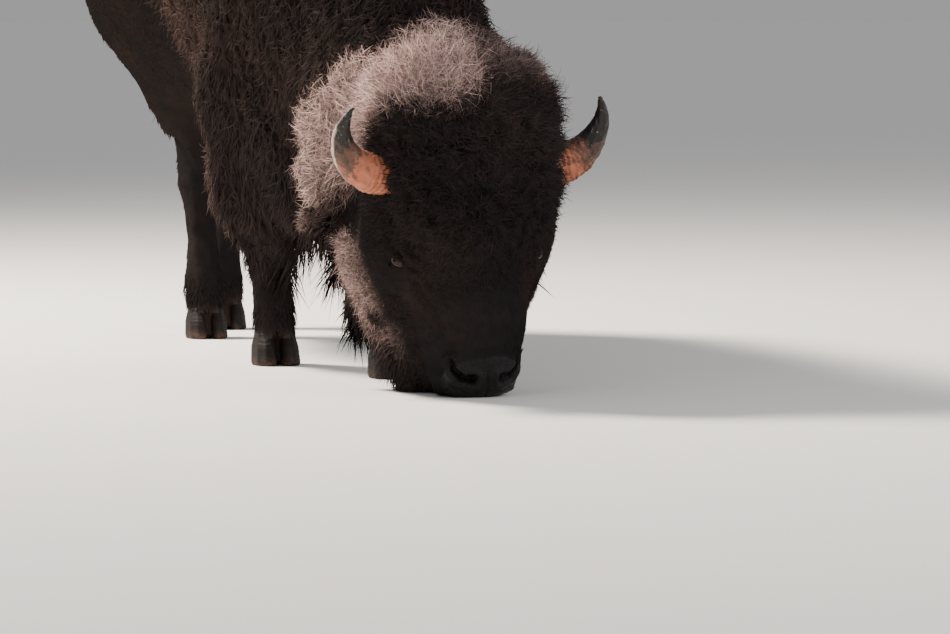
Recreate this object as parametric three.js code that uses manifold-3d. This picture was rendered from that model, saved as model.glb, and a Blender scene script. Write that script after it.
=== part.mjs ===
// An American bison bull at life size, standing with its muzzle lowered to the ground to drink.
// Millimetres, +Z up. The nose points towards -Y and the animal's left side is +X.
// The solids reach to the tips of the coat: one smooth field, parted by thin flat cuts.
import * as THREE from "three";
import { mergeVertices } from "three/addons/utils/BufferGeometryUtils.js";
import Module from "manifold-3d";

const wasm = await Module();
wasm.setup();
const { clamp, lerp, degToRad } = THREE.MathUtils;

// ---------------------------------------------------------------- driving dimensions
const GAP = 0.4; // width of a parting cut
const SEAT = 0.9; // clearance of the pocket round a horn, ear, eye or tail
const HUMP_TOP = 1720;
const BACK_TOP = 1390;
const BELLY = 555;
const BARREL_HALF = 462;
const SHOULDER_HALF = 292;
const RUMP_END = 1600;

// The head hangs from the middle of the horn axis, its long axis a little forward of plumb.
const HEAD_AT = new THREE.Vector3(104, -818, 490);
const HEAD_PITCH = degToRad(3);
const HEAD_TURN = degToRad(5.5); // towards the animal's left
const HEAD_ROLL = degToRad(2); // the left horn higher

const HOOF_HEIGHT = 78;
const CANNON = 38; // radius of the shank with its short coat
const FETLOCK = 47;
const FETLOCK_HEIGHT = 158;
const CLEFT = 5; // between the claws of a hoof
const EYE_RADIUS = 21;

// ---------------------------------------------------------------- field maths
/** The lower of two distances, rounded over a width of k where they meet. */
function joined(a, b, k) {
  const near = Math.max(k - Math.abs(a - b), 0);
  return Math.min(a, b) - (near * near) / (4 * k);
}

/** The higher of two distances, rounded over a width of k. */
function trimmed(a, b, k) {
  return -joined(-a, -b, k);
}

/** Distance to a limb from a to b, each { at: [x, y, z], r, wide? }; wide stretches it sideways. */
function limb(p, a, b) {
  const [ax, ay, az] = a.at;
  const [dx, dy, dz] = [b.at[0] - ax, b.at[1] - ay, b.at[2] - az];
  const along = ((p.x - ax) * dx + (p.y - ay) * dy + (p.z - az) * dz) / (dx * dx + dy * dy + dz * dz);
  const t = clamp(along, 0, 1);
  const side = (p.x - ax - t * dx) / lerp(a.wide ?? 1, b.wide ?? 1, t);
  return Math.hypot(side, p.y - ay - t * dy, p.z - az - t * dz) - lerp(a.r, b.r, t);
}

/** Distance to a chain of limbs, rounded at its joints. */
function chain(p, joints, k = 30) {
  let d = limb(p, joints[0], joints[1]);
  for (let i = 1; i < joints.length - 1; i++) d = joined(d, limb(p, joints[i], joints[i + 1]), k);
  return d;
}

/** Distance to an ellipsoid { at: [x, y, z], r: [rx, ry, rz] }. */
function mound(p, { at, r }) {
  const [x, y, z] = [(p.x - at[0]) / r[0], (p.y - at[1]) / r[1], (p.z - at[2]) / r[2]];
  const k = Math.hypot(x, y, z);
  return (k * (k - 1)) / Math.max(Math.hypot(x / r[0], y / r[1], z / r[2]), 1e-9);
}

const mirrored = (shape) => ({ ...shape, at: [-shape.at[0], shape.at[1], shape.at[2]] });
const paired = (shape) => [shape, mirrored(shape)];

// ---------------------------------------------------------------- trunk
// Sections from the chest to the rump: heights of back and belly, half-width, and how much the
// section narrows towards its top, which makes the hump a ridge.
const TRUNK = [
  { y: -340, top: 1400, belly: 640, half: 190, ridge: 0.2 },
  { y: -180, top: 1585, belly: 570, half: 250, ridge: 0.34 },
  { y: 0, top: HUMP_TOP - 22, belly: 520, half: SHOULDER_HALF - 8, ridge: 0.42 },
  { y: 180, top: HUMP_TOP, belly: 510, half: SHOULDER_HALF + 6, ridge: 0.44 },
  { y: 400, top: 1655, belly: BELLY - 25, half: 345, ridge: 0.36 },
  { y: 640, top: 1530, belly: BELLY, half: 415, ridge: 0.22 },
  { y: 880, top: 1432, belly: BELLY, half: BARREL_HALF, ridge: 0.12 },
  { y: 1100, top: BACK_TOP, belly: BELLY + 45, half: BARREL_HALF - 30, ridge: 0.1 },
  { y: 1300, top: BACK_TOP - 8, belly: 720, half: 345, ridge: 0.14 },
  { y: 1470, top: 1325, belly: 830, half: 262, ridge: 0.2 },
  { y: RUMP_END, top: 1225, belly: 900, half: 190, ridge: 0.2 },
];
const SECTION = new THREE.CubicInterpolant(
  TRUNK.map((s) => s.y),
  TRUNK.flatMap((s) => [s.top, s.belly, s.half, s.ridge]),
  4,
);
const SQUARENESS = 2.08; // the power of the section's curve: 2 is an ellipse
const KEEL = 0.2; // how much the section narrows towards the belly

function trunk(p) {
  const [top, belly, half, ridge] = SECTION.evaluate(clamp(p.y, TRUNK[0].y, RUMP_END));
  const height = (top - belly) / 2;
  const v = (p.z - (top + belly) / 2) / height;
  const width = half * (1 - ridge * clamp(v, -0.1, 1.1) + KEEL * clamp(v, -1, 0));
  const spread = Math.abs(p.x / width) ** SQUARENESS + Math.abs(v) ** SQUARENESS;
  const d = (spread ** (1 / SQUARENESS) - 1) * Math.min(width, height);
  return trimmed(trimmed(d, p.y - RUMP_END, 130), TRUNK[0].y - p.y, 150);
}

// ---------------------------------------------------------------- legs
const FOOT = {
  foreleg_right: [-90, 232],
  foreleg_left: [78, -240],
  hindleg_right: [-45, 1205],
  hindleg_left: [82, 1544],
};

/** The shank from a knee or hock down into the hoof; lean is how far the fetlock stands back. */
function shank(name, top, lean) {
  const [x, y] = FOOT[name];
  return [
    top,
    { at: [lerp(top.at[0], x, 0.6), lerp(top.at[1], y + lean, 0.6), 275], r: CANNON },
    { at: [x, y + lean, FETLOCK_HEIGHT], r: FETLOCK },
    { at: [x, y + 10, HOOF_HEIGHT + 22], r: FETLOCK - 3 },
    { at: [x, y + 2, HOOF_HEIGHT - 30], r: FETLOCK + 1 },
  ];
}

const LEGS = {
  foreleg_right: [
    { at: [-150, -40, 980], r: 165 },
    { at: [-190, 120, 720], r: 118 },
    ...shank("foreleg_right", { at: [-118, 195, 425], r: 62 }, 20),
  ],
  foreleg_left: [
    { at: [150, -120, 970], r: 165 },
    { at: [160, 10, 720], r: 112 },
    ...shank("foreleg_left", { at: [92, -160, 425], r: 62 }, 24),
  ],
  hindleg_right: [
    { at: [-165, 1290, 1120], r: 200 },
    { at: [-205, 1120, 840], r: 138 },
    { at: [-108, 1230, 625], r: 92 },
    ...shank("hindleg_right", { at: [-46, 1322, 450], r: 57 }, 28),
  ],
  hindleg_left: [
    { at: [160, 1330, 1120], r: 200 },
    { at: [205, 1235, 840], r: 138 },
    { at: [145, 1440, 630], r: 94 },
    ...shank("hindleg_left", { at: [98, 1606, 455], r: 57 }, 28),
  ],
};
const HAUNCHES = [
  { at: [190, 1290, 1010], r: [128, 235, 300] },
  { at: [118, 1450, 1060], r: [132, 150, 250] },
].flatMap(paired);
const BUTTOCKS = [
  { at: [-140, 1370, 890], r: [100, 170, 235] },
  { at: [150, 1450, 880], r: [100, 165, 225] },
];
// The chaps: long hair that hangs round each forearm down to the fetlock.
const CHAPS = [
  [
    { at: [-190, 195, 660], r: 118 },
    { at: [-165, 250, 420], r: 98 },
    { at: [-118, 250, 250], r: 60 },
  ],
  [
    { at: [-110, 120, 620], r: 110 },
    { at: [-70, 175, 310], r: 66 },
  ],
  [
    { at: [-80, 40, 560], r: 115 },
    { at: [-48, -5, 400], r: 95 },
    { at: [-52, -22, 272], r: 58 },
  ],
  [
    { at: [165, 30, 660], r: 112 },
    { at: [130, -95, 420], r: 96 },
    { at: [92, -170, 250], r: 60 },
  ],
  [
    { at: [80, -20, 620], r: 105 },
    { at: [42, -60, 420], r: 95 },
    { at: [40, -105, 290], r: 62 },
  ],
];

function legs(p) {
  let d = Infinity;
  for (const joints of Object.values(LEGS)) d = Math.min(d, chain(p, joints));
  for (const lock of CHAPS) d = joined(d, chain(p, lock), 40);
  return d;
}

// ---------------------------------------------------------------- neck, chest and beard
// Nape and throat run side by side; the neck is deep and narrow, with a bushy collar of mane.
const NAPE = [
  { at: [0, -20, 1300], r: 330, wide: 0.72 },
  { at: [5, -310, 1070], r: 285, wide: 0.7 },
  { at: [35, -520, 830], r: 218, wide: 0.8 },
  { at: [86, -680, 620], r: 180, wide: 1.05 },
];
const THROAT = [
  { at: [0, -190, 820], r: 235, wide: 0.95 },
  { at: [45, -450, 580], r: 180, wide: 1.15 },
  { at: [84, -640, 420], r: 125, wide: 1.3 },
];
const BUSH = [
  { at: [0, -190, 860], r: [238, 190, 300] },
  { at: [0, -20, 610], r: [175, 260, 130] },
  { at: [52, -540, 600], r: [280, 170, 235] },
  ...[-1, 1].map((side) => ({ at: [52 + side * 165, -500, 470], r: [118, 130, 135] })),
];
const BEARD = [
  { at: [84, -610, 325], r: 122, wide: 1.55 },
  { at: [84, -640, 180], r: 94, wide: 1.75 },
  { at: [84, -655, 30], r: 62, wide: 1.95 },
];
// Two locks that hang beside the beard.
const BEARD_SIDES = [-1, 1].map((side) => [
  { at: [84 + side * 60, -575, 315], r: 98 },
  { at: [84 + side * 142, -545, 235], r: 56 },
  { at: [84 + side * 165, -535, 165], r: 32 },
]);

function neck(p) {
  let d = joined(chain(p, NAPE, 60), chain(p, THROAT, 60), 110);
  for (const m of BUSH) d = joined(d, mound(p, m), 80);
  d = joined(d, chain(p, BEARD, 50), 60);
  for (const lock of BEARD_SIDES) d = joined(d, chain(p, lock), 35);
  return d;
}

// ---------------------------------------------------------------- head, in its own axes
// across: to the animal's left; down: along the face to the nose; out: away from the forehead.
const AHEAD = new THREE.Vector3(Math.sin(HEAD_TURN), -Math.cos(HEAD_TURN), 0);
const UP = new THREE.Vector3(0, 0, 1);
const ACROSS = AHEAD.clone().cross(UP).negate();
const DOWN = AHEAD.clone().multiplyScalar(Math.sin(HEAD_PITCH)).addScaledVector(UP, -Math.cos(HEAD_PITCH));
const OUT = AHEAD.clone().multiplyScalar(Math.cos(HEAD_PITCH)).addScaledVector(UP, Math.sin(HEAD_PITCH));
for (const axis of [ACROSS, DOWN]) axis.applyAxisAngle(OUT, HEAD_ROLL);
const HEAD_FRAME = new THREE.Matrix4().makeBasis(ACROSS, DOWN, OUT).setPosition(HEAD_AT);
const TO_HEAD = HEAD_FRAME.clone().invert();

/** A point given in the head's axes, in the part's frame. */
const fromHead = (across, down, out) => new THREE.Vector3(across, down, out).applyMatrix4(HEAD_FRAME);

const SKULL = [
  { at: [0, 15, -50], r: [242, 140, 125] },
  { at: [0, 120, -92], r: [238, 160, 100] },
  ...paired({ at: [132, 185, -56], r: [44, 58, 38] }),
  ...paired({ at: [128, 165, -150], r: [92, 150, 95] }),
  ...paired({ at: [172, 162, -190], r: [84, 82, 62] }), // the whiskers at the corner of the jaw
];
const FACE = [
  { at: [0, 150, -62], r: 142 },
  { at: [0, 320, -62], r: 120 },
  { at: [0, 420, -58], r: 98 },
];
const NOSE_BRIDGE = [
  { at: [0, 150, 8], r: 84, wide: 1.15 },
  { at: [0, 415, -10], r: 56, wide: 1.3 },
];
const MUZZLE = { at: [0, 442, -42], r: [102, 58, 72] };
const JAW = [
  { at: [84, 130, -185], r: 78 },
  { at: [40, 395, -116], r: 58 },
];
const CHIN = { at: [0, 446, -104], r: [72, 44, 46] };
// Long hair with nothing inside it: the bonnet between the horns, square at its top.
const BONNET = [
  { at: [0, -95, -20], r: [226, 190, 130] },
  ...paired({ at: [105, -140, -20], r: [122, 130, 110] }),
  { at: [0, 35, 50], r: [195, 150, 88] },
];

function head(p) {
  let d = joined(chain(p, FACE, 60), chain(p, NOSE_BRIDGE, 50), 40);
  for (const m of SKULL) d = joined(d, mound(p, m), 45);
  d = joined(d, chain(p, JAW, 30), 40);
  d = joined(d, chain(p, JAW.map(mirrored), 30), 40);
  d = joined(d, mound(p, CHIN), 25);
  d = joined(d, mound(p, MUZZLE), 30);
  for (const m of BONNET) d = joined(d, mound(p, m), 40);
  return d;
}

/** The whole body to the tips of its coat; nothing of it goes under the floor. */
const inHead = new THREE.Vector3();
function body(p) {
  let d = joined(trunk(p), legs(p), 85);
  for (const m of [...HAUNCHES, ...BUTTOCKS]) d = joined(d, mound(p, m), 80);
  d = joined(d, neck(p), 130);
  return joined(d, head(inHead.copy(p).applyMatrix4(TO_HEAD)), 60);
}

// ---------------------------------------------------------------- surfaces and solids
const CORNERS = [0, 1, 2, 3, 4, 5, 6, 7].map((c) => [c & 1, (c >> 1) & 1, (c >> 2) & 1]);
const EDGES = CORNERS.flatMap((a, m) =>
  [0, 1, 2].filter((axis) => !a[axis]).map((axis) => [m, m | (1 << axis), axis]),
);
// The corners of each face of a cell in order round it.
const FACES = [0, 1, 2].flatMap((axis) => {
  const [u, v] = [1 << (axis + 1) % 3, 1 << (axis + 2) % 3];
  return [0, 1 << axis].map((base) => [base, base | u, base | u | v, base | v]);
});
const EDGE_OF = new Map(EDGES.flatMap(([m, n], e) => [[m * 8 + n, e], [n * 8 + m, e]]));

/** The loops in which a surface crosses a cell's edges, as a loop number for each edge. */
function loops(inside) {
  const loop = EDGES.map(([m, n], e) => (inside[m] !== inside[n] ? e : -1));
  const link = (e, f) => {
    const [keep, drop] = [loop[e], loop[f]];
    loop.forEach((name, i) => (loop[i] = name === drop ? keep : name));
  };
  for (const face of FACES) {
    const around = face.map((c, i) => EDGE_OF.get(c * 8 + face[(i + 1) % 4]));
    const crossed = around.filter((e) => loop[e] >= 0);
    if (crossed.length === 2) link(...crossed);
    if (crossed.length === 4)
      face.forEach((c, i) => inside[c] && link(around[i], around[(i + 3) % 4]));
  }
  return loop;
}

/** The zero surface of a field in a box: a vertex for each loop in a cell, joined by quads. */
function surface(field, box, cell) {
  const [nx, ny, nz] = box.getSize(new THREE.Vector3()).divide(cell).ceil().addScalar(1).toArray();
  const index = (i, j, k) => (k * ny + j) * nx + i;
  const value = new Float32Array(nx * ny * nz).fill(1e3);
  const p = new THREE.Vector3();
  for (let k = 1; k < nz - 1; k++)
    for (let j = 1; j < ny - 1; j++)
      for (let i = 1; i < nx - 1; i++)
        value[index(i, j, k)] = field(p.set(i, j, k).multiply(cell).add(box.min));

  const places = [];
  const vertex = new Map();
  for (let k = 0; k < nz - 1; k++)
    for (let j = 0; j < ny - 1; j++)
      for (let i = 0; i < nx - 1; i++) {
        const values = CORNERS.map(([a, b, c]) => value[index(i + a, j + b, k + c)]);
        const inside = values.map((v) => v < 0);
        if (inside.every((v) => v === inside[0])) continue;
        const sums = new Map();
        const loop = loops(inside);
        EDGES.forEach(([m, n], e) => {
          if (loop[e] < 0) return;
          if (!sums.has(loop[e])) sums.set(loop[e], [0, 0, 0, 0]);
          const sum = sums.get(loop[e]);
          const t = values[m] / (values[m] - values[n]);
          for (let c = 0; c < 3; c++) sum[c] += lerp(CORNERS[m][c], CORNERS[n][c], t);
          sum[3]++;
        });
        const names = new Map();
        for (const [name, [x, y, z, count]] of sums) {
          names.set(name, places.length / 3);
          p.set(i + x / count, j + y / count, k + z / count).multiply(cell).add(box.min);
          places.push(...settled(field, p, cell));
        }
        EDGES.forEach((_, e) => loop[e] >= 0 && vertex.set(index(i, j, k) * 12 + e, names.get(loop[e])));
      }

  const faces = [];
  const steps = [1, nx, nx * ny];
  for (let k = 0; k < nz - 1; k++)
    for (let j = 0; j < ny - 1; j++)
      for (let i = 0; i < nx - 1; i++)
        for (let axis = 0; axis < 3; axis++) {
          const at = index(i, j, k);
          const inside = value[at] < 0;
          if (inside === value[at + steps[axis]] < 0) continue;
          const [u, v] = [(axis + 1) % 3, (axis + 2) % 3];
          const [a, b, c, d] = [[1, 1], [0, 1], [0, 0], [1, 0]].map(([s, t]) => {
            const corner = (s << u) | (t << v);
            const edge = EDGE_OF.get(corner * 8 + (corner | (1 << axis)));
            return vertex.get((at - s * steps[u] - t * steps[v]) * 12 + edge);
          });
          faces.push(...(inside ? [a, b, c, a, c, d] : [a, c, b, a, d, c]));
        }
  const geometry = new THREE.BufferGeometry()
    .setAttribute("position", new THREE.Float32BufferAttribute(places, 3))
    .setIndex(faces);
  geometry.userData.closed = true;
  return geometry;
}

/** A point brought onto the zero surface of a field by one step down its slope. */
function settled(field, p, cell) {
  const step = 2;
  const [x, y, z] = p.toArray();
  const d = field(p);
  const slope = new THREE.Vector3(
    field(p.set(x + step, y, z)) - d,
    field(p.set(x, y + step, z)) - d,
    field(p.set(x, y, z + step)) - d,
  ).divideScalar(step);
  const shift = clamp(-d / Math.max(slope.lengthSq(), 0.05), -cell.x * 0.3, cell.x * 0.3);
  return [x + slope.x * shift, y + slope.y * shift, z + slope.z * shift];
}

/** A closed three.js geometry as a solid. */
function solid(geometry) {
  const bare = geometry.clone();
  for (const name of ["normal", "uv"]) bare.deleteAttribute(name);
  const merged = bare.userData.closed ? bare : mergeVertices(bare, 1e-3);
  return new wasm.Manifold(
    new wasm.Mesh({
      numProp: 3,
      vertProperties: merged.attributes.position.array,
      triVerts: new Uint32Array(merged.index.array),
    }),
  );
}

/** A solid as a three.js geometry. */
function geometryOf(piece) {
  const { numProp, vertProperties, triVerts } = piece.getMesh();
  const places = new Float32Array((vertProperties.length / numProp) * 3);
  for (let i = 0; i < places.length / 3; i++)
    places.set(vertProperties.subarray(i * numProp, i * numProp + 3), i * 3);
  const geometry = new THREE.BufferGeometry()
    .setAttribute("position", new THREE.BufferAttribute(places, 3))
    .setIndex(new THREE.BufferAttribute(triVerts, 1));
  geometry.computeVertexNormals();
  geometry.userData.closed = true;
  return geometry;
}

/** A copy of a solid with its skin moved outwards, to cut the pocket that it sits in. */
function inflated(piece, by) {
  const geometry = geometryOf(piece);
  const { position, normal } = geometry.attributes;
  for (let i = 0; i < position.array.length; i++) position.array[i] += normal.array[i] * by;
  return solid(geometry);
}

/** The largest separate body of a solid, without the crumbs that a cut can leave. */
function largest(piece) {
  return piece.decompose().sort((a, b) => b.volume() - a.volume())[0];
}

// ---------------------------------------------------------------- parting
const FAR = 4000;

/** A half-space: everything on the side of at that faces against the normal. */
const under = (at, normal) => ({ at: new THREE.Vector3(...at), normal: new THREE.Vector3(...normal) });
/** The same in the head's axes. */
const underHead = (at, normal) => ({
  at: fromHead(...at),
  normal: new THREE.Vector3(...normal).transformDirection(HEAD_FRAME),
});

/** The space under every one of some planes, each moved outwards by grow. */
function wedge(planes, grow = 0) {
  let space = solid(new THREE.BoxGeometry(FAR, FAR, FAR));
  for (const { at, normal } of planes) {
    const n = normal.clone().normalize().negate();
    space = space.trimByPlane(n.toArray(), n.dot(at) - grow);
  }
  return space;
}

const zones = [];

/** The body inside some planes and outside every earlier zone, meshed at its own fineness. */
function zone(planes, min, max, cell) {
  const box = new THREE.Box3(new THREE.Vector3(...min), new THREE.Vector3(...max));
  let piece = solid(surface(body, box, new THREE.Vector3(...cell))).intersect(wedge(planes));
  for (const earlier of zones) piece = piece.subtract(wedge(earlier, GAP));
  zones.push(planes);
  return largest(piece);
}

/** A solid parted in two by a wedge: the piece inside it and the rest. */
function parted(piece, planes) {
  return [largest(piece.intersect(wedge(planes))), largest(piece.subtract(wedge(planes, GAP)))];
}

const FLOOR = under([0, 0, 0], [0, 0, -1]);
const BEARD_TIP = under([0, 0, 9], [0, 0, -1]); // the beard ends just clear of the floor
const HEAD_BACK = underHead([0, -120, -100], [0, -0.42, -0.9]);
const BEARD_FRONT = underHead([0, 250, -215], [0, -0.38, 0.92]);
const BEARD_TOP = under([0, -640, 285], [0, -0.1, 1]);
const beardPlanes = [BEARD_TIP, BEARD_FRONT, BEARD_TOP, under([0, -430, 0], [0, 1, 0])];

const flesh = {};
flesh.beard = zone(beardPlanes, [-170, -880, -60], [360, -390, 360], [44, 44, 44]);
let rest = zone([FLOOR, HEAD_BACK], [-240, -1020, -70], [460, -540, 880], [48, 48, 48]);
[flesh.bonnet, rest] = parted(rest, [underHead([0, 45, 130], [0, 0.88, -0.46])]);
const MOUTH = underHead([0, 470, -76], [0, 0.12, 1]);
[flesh.lower_jaw, rest] = parted(rest, [MOUTH, underHead([0, 250, -150], [0, -1, 0.1])]);
[flesh.muzzle, flesh.head] = parted(rest, [underHead([0, 372, 0], [0, -1, 0])]);

// Each leg is parted from the trunk by a slanted plane and from its pair by an upright one.
const FORE_MID = -6;
const HIND_MID = 18;
const foreEnds = (front, back) => [under([0, back, 0], [0, 1, 0.15]), under([0, front, 0], [0, -1, 0.1])];
const hindEnds = [under([0, 1010, 0], [0, -1, 0.1])];
const LEG_ZONES = {
  foreleg_right: { side: -1, mid: FORE_MID, tilt: [-120, 0, 590], ends: foreEnds(-150, 400), y: [-280, 500], cut: 300 },
  foreleg_left: { side: 1, mid: FORE_MID, tilt: [110, 0, 590], ends: foreEnds(-330, 210), y: [-440, 330], cut: 300 },
  hindleg_right: { side: -1, mid: HIND_MID, tilt: [-120, 0, 760], ends: hindEnds, y: [930, 1800], cut: 400 },
  hindleg_left: { side: 1, mid: HIND_MID, tilt: [140, 0, 760], ends: hindEnds, y: [930, 1800], cut: 400 },
};
const SHANK_CELL = [41, 41, 74];
const THIGH_CELL = [84, 84, 92];
for (const [name, { side, mid, tilt, ends, y, cut }] of Object.entries(LEG_ZONES)) {
  const own = [
    under([mid + (side * GAP) / 2, 0, 0], [-side, 0, 0]),
    under(tilt, [-side * 0.62, 0, 0.78]),
    ...ends,
  ];
  const x = side < 0 ? [-460, mid + 60] : [mid - 60, 460];
  const lower = [...own, under([0, 0, HOOF_HEIGHT + GAP], [0, 0, -1]), under([0, 0, cut], [0, 0, 1])];
  flesh[name + "_lower"] = zone(lower, [x[0], y[0], 0], [x[1], y[1], cut + 90], SHANK_CELL);
  const upper = [...own, under([0, 0, cut + GAP], [0, 0, -1])];
  flesh[name + "_upper"] = zone(upper, [x[0], y[0], cut - 110], [x[1], y[1], 1150], THIGH_CELL);
}

const whole = zone([FLOOR], [-680, -1050, 20], [680, 1920, 1920], [124, 146, 124]);
[flesh.neck, rest] = parted(whole, [under([0, -330, 900], [0, 0.95, -0.3])]);
[flesh.shoulders, rest] = parted(rest, [under([0, 470, 0], [0, 1, 0])]);
[flesh.barrel, flesh.rump] = parted(rest, [under([0, 1080, 0], [0, 1, 0])]);

// ---------------------------------------------------------------- horn, hoof, ear, eye and tail
/** A closed solid through rings of points, every ring with as many points as the first. */
function loft(rings) {
  const count = rings[0].length;
  const places = rings.flat();
  const faces = [];
  for (let i = 0; i < rings.length - 1; i++)
    for (let j = 0; j < count; j++) {
      const [a, b] = [i * count + j, i * count + ((j + 1) % count)];
      faces.push(a, b, b + count, a, b + count, a + count);
    }
  for (const [ring, sense] of [[0, 1], [rings.length - 1, -1]]) {
    const hub = places.length;
    places.push(rings[ring].reduce((sum, q) => sum.add(q), new THREE.Vector3()).divideScalar(count));
    for (let j = 0; j < count; j++) {
      const [a, b] = [ring * count + j, ring * count + ((j + 1) % count)];
      faces.push(...(sense > 0 ? [hub, b, a] : [hub, a, b]));
    }
  }
  let volume = 0;
  for (let i = 0; i < faces.length; i += 3) {
    const [a, b, c] = faces.slice(i, i + 3).map((n) => places[n]);
    volume += a.dot(b.clone().cross(c));
  }
  if (volume < 0) faces.reverse();
  const geometry = new THREE.BufferGeometry().setFromPoints(places).setIndex(faces);
  geometry.userData.closed = true;
  return solid(geometry);
}

/** A round solid along a smooth path of { at, r }, with sides flats round it. */
function horned(path, sides, steps) {
  const curve = new THREE.CatmullRomCurve3(path.map(({ at }) => at));
  const radius = new THREE.SplineCurve(path.map(({ r }, i) => new THREE.Vector2(i, r)));
  const { tangents, normals, binormals } = curve.computeFrenetFrames(steps);
  const rings = tangents.map((_, i) => {
    const t = i / steps;
    const { y: r } = radius.getPoint(t);
    return Array.from({ length: sides }, (_, j) => {
      const turn = (j / sides) * 2 * Math.PI;
      return curve
        .getPoint(t)
        .addScaledVector(normals[i], r * Math.cos(turn))
        .addScaledVector(binormals[i], r * Math.sin(turn));
    });
  });
  return loft(rings);
}

// The horn's middle line in the head's axes: out to the side, up, and a little in and forward.
const HORN = [
  { at: [150, 0, -28], r: 42 },
  { at: [200, -8, -20], r: 47 },
  { at: [247, -20, -12], r: 44 },
  { at: [283, -50, -2], r: 34 },
  { at: [302, -87, 18], r: 24 },
  { at: [303, -123, 42], r: 14 },
  { at: [288, -156, 66], r: 4 },
];
const EAR = { root: [172, 66, -138], tip: [306, 84, -266], width: 50, thick: 11, cup: 20 };
const EYE = { at: [154, 183, -50], facing: [0.77, 0.06, 0.63], socket: [21, 12, 30], slant: degToRad(24) };

/** An ear: a leaf, hollow towards the front, from its root out to its tip. */
function ear(side) {
  const root = fromHead(side * EAR.root[0], EAR.root[1], EAR.root[2]);
  const tip = fromHead(side * EAR.tip[0], EAR.tip[1], EAR.tip[2]);
  const axis = tip.clone().sub(root);
  const across = axis.clone().cross(OUT).normalize();
  const back = across.clone().cross(axis).normalize();
  if (back.dot(OUT) > 0) back.negate();
  const spans = [-1, -0.6, 0, 0.6, 1];
  const rings = [0, 0.14, 0.34, 0.56, 0.76, 0.9, 1].map((t) => {
    const width = EAR.width * (0.16 + 0.84 * Math.sin(Math.PI * Math.min(0.3 + 0.7 * t, 1)) ** 0.8);
    const cup = EAR.cup * Math.sin(Math.PI * (0.2 + 0.75 * t));
    const at = (u, shift) =>
      root.clone().addScaledVector(axis, t).addScaledVector(across, u * width)
        .addScaledVector(back, cup * (1 - u * u) + shift * (1 - 0.6 * u * u) * EAR.thick);
    return [...spans.map((u) => at(u, 0.5)), ...spans.toReversed().map((u) => at(u * 0.94, -0.5))];
  });
  return loft(rings);
}

/** The hollow between the lids, down to the eyeball; it slants down towards the nose. */
function socket(side) {
  const facing = new THREE.Vector3(side * EYE.facing[0], EYE.facing[1], EYE.facing[2]).normalize();
  const down = new THREE.Vector3(0, 1, 0);
  const level = down.clone().cross(facing).multiplyScalar(side).normalize();
  const long = level.multiplyScalar(Math.cos(EYE.slant)).addScaledVector(down, -Math.sin(EYE.slant));
  const [length, height, depth] = EYE.socket;
  // The head's axes are left-handed, so the ball is mirrored to come out the right way round.
  const hollow = new THREE.SphereGeometry(1, 12, 8).scale(-length, height, depth);
  hollow.applyMatrix4(new THREE.Matrix4().makeBasis(long, facing.clone().cross(long), facing));
  hollow.translate(side * EYE.at[0] + facing.x * 26, EYE.at[1] + facing.y * 26, EYE.at[2] + facing.z * 26);
  return solid(hollow.applyMatrix4(HEAD_FRAME));
}

/** One claw of a hoof: flat-soled, rounded at toe and heel and nearly straight at the cleft. */
function claw([x, y], side, reach) {
  const rings = [
    { z: 0, size: 0.94, shift: 0 },
    { z: 7, size: 1, shift: 0 },
    { z: HOOF_HEIGHT * 0.6, size: 0.93, shift: 9 },
    { z: HOOF_HEIGHT, size: 0.82, shift: 15 },
  ].map(({ z, size, shift }) =>
    Array.from({ length: 11 }, (_, i) => {
      const turn = (i / 11) * 2 * Math.PI;
      const [c, s] = [Math.cos(turn), Math.sin(turn)];
      const outward = c > 0 ? reach.outer * c : reach.inner * c;
      const toe = s < 0 ? reach.toe : reach.heel;
      return new THREE.Vector3(
        x + side * (CLEFT / 2 + reach.inner + outward * size),
        y + shift + toe * size * Math.sign(s) * Math.abs(s) ** 0.85,
        z,
      );
    }),
  );
  return loft(rings);
}

const CLAWS = { fore: { outer: 38, inner: 18, toe: 66, heel: 58 }, hind: { outer: 35, inner: 17, toe: 62, heel: 54 } };
const DEWCLAW = [{ at: [0, -4, 2], r: 16 }, { at: [0, 8, -10], r: 14 }, { at: [0, 13, -27], r: 8 }];
const TAIL = [
  { at: [0, 1520, 1240], r: 46 },
  { at: [4, 1622, 1165], r: 33 },
  { at: [10, 1672, 1010], r: 25 },
  { at: [14, 1684, 860], r: 25 },
  { at: [16, 1688, 740], r: 36 },
  { at: [16, 1690, 610], r: 15 },
];

const horns = {};
for (const [word, side] of [["right", -1], ["left", 1]]) {
  const sided = ([x, y, z]) => fromHead(side * x, y, z);
  horns["horn_" + word] = horned(HORN.map(({ at, r }) => ({ at: sided(at), r })), 10, 10);
  flesh["ear_" + word] = ear(side);
  const eyeball = new THREE.SphereGeometry(EYE_RADIUS, 12, 8).translate(...sided(EYE.at).toArray());
  horns["eye_" + word] = solid(eyeball);
  flesh.head = flesh.head.subtract(socket(side));
}
for (const [name, foot] of Object.entries(FOOT)) {
  const reach = CLAWS[name.slice(0, 4)];
  for (const [word, side] of [["right", -1], ["left", 1]]) {
    horns[`${name}_hoof_${word}`] = claw(foot, side, reach);
    const [x, y] = [foot[0] + side * 27, foot[1] + 62];
    horns[`${name}_dewclaw_${word}`] = horned(
      DEWCLAW.map(({ at, r }) => ({ at: new THREE.Vector3(x + at[0], y + at[1], 128 + at[2]), r })), 7, 2);
  }
}
const tailBox = new THREE.Box3(new THREE.Vector3(-90, 1420, 560), new THREE.Vector3(110, 1780, 1340));
const wholeTail = solid(surface((p) => chain(p, TAIL, 20), tailBox, new THREE.Vector3(27, 27, 50)));
[flesh.tail, flesh.tail_tuft] = parted(wholeTail, [under([0, 0, 850], [0, 0, -1])]);

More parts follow.
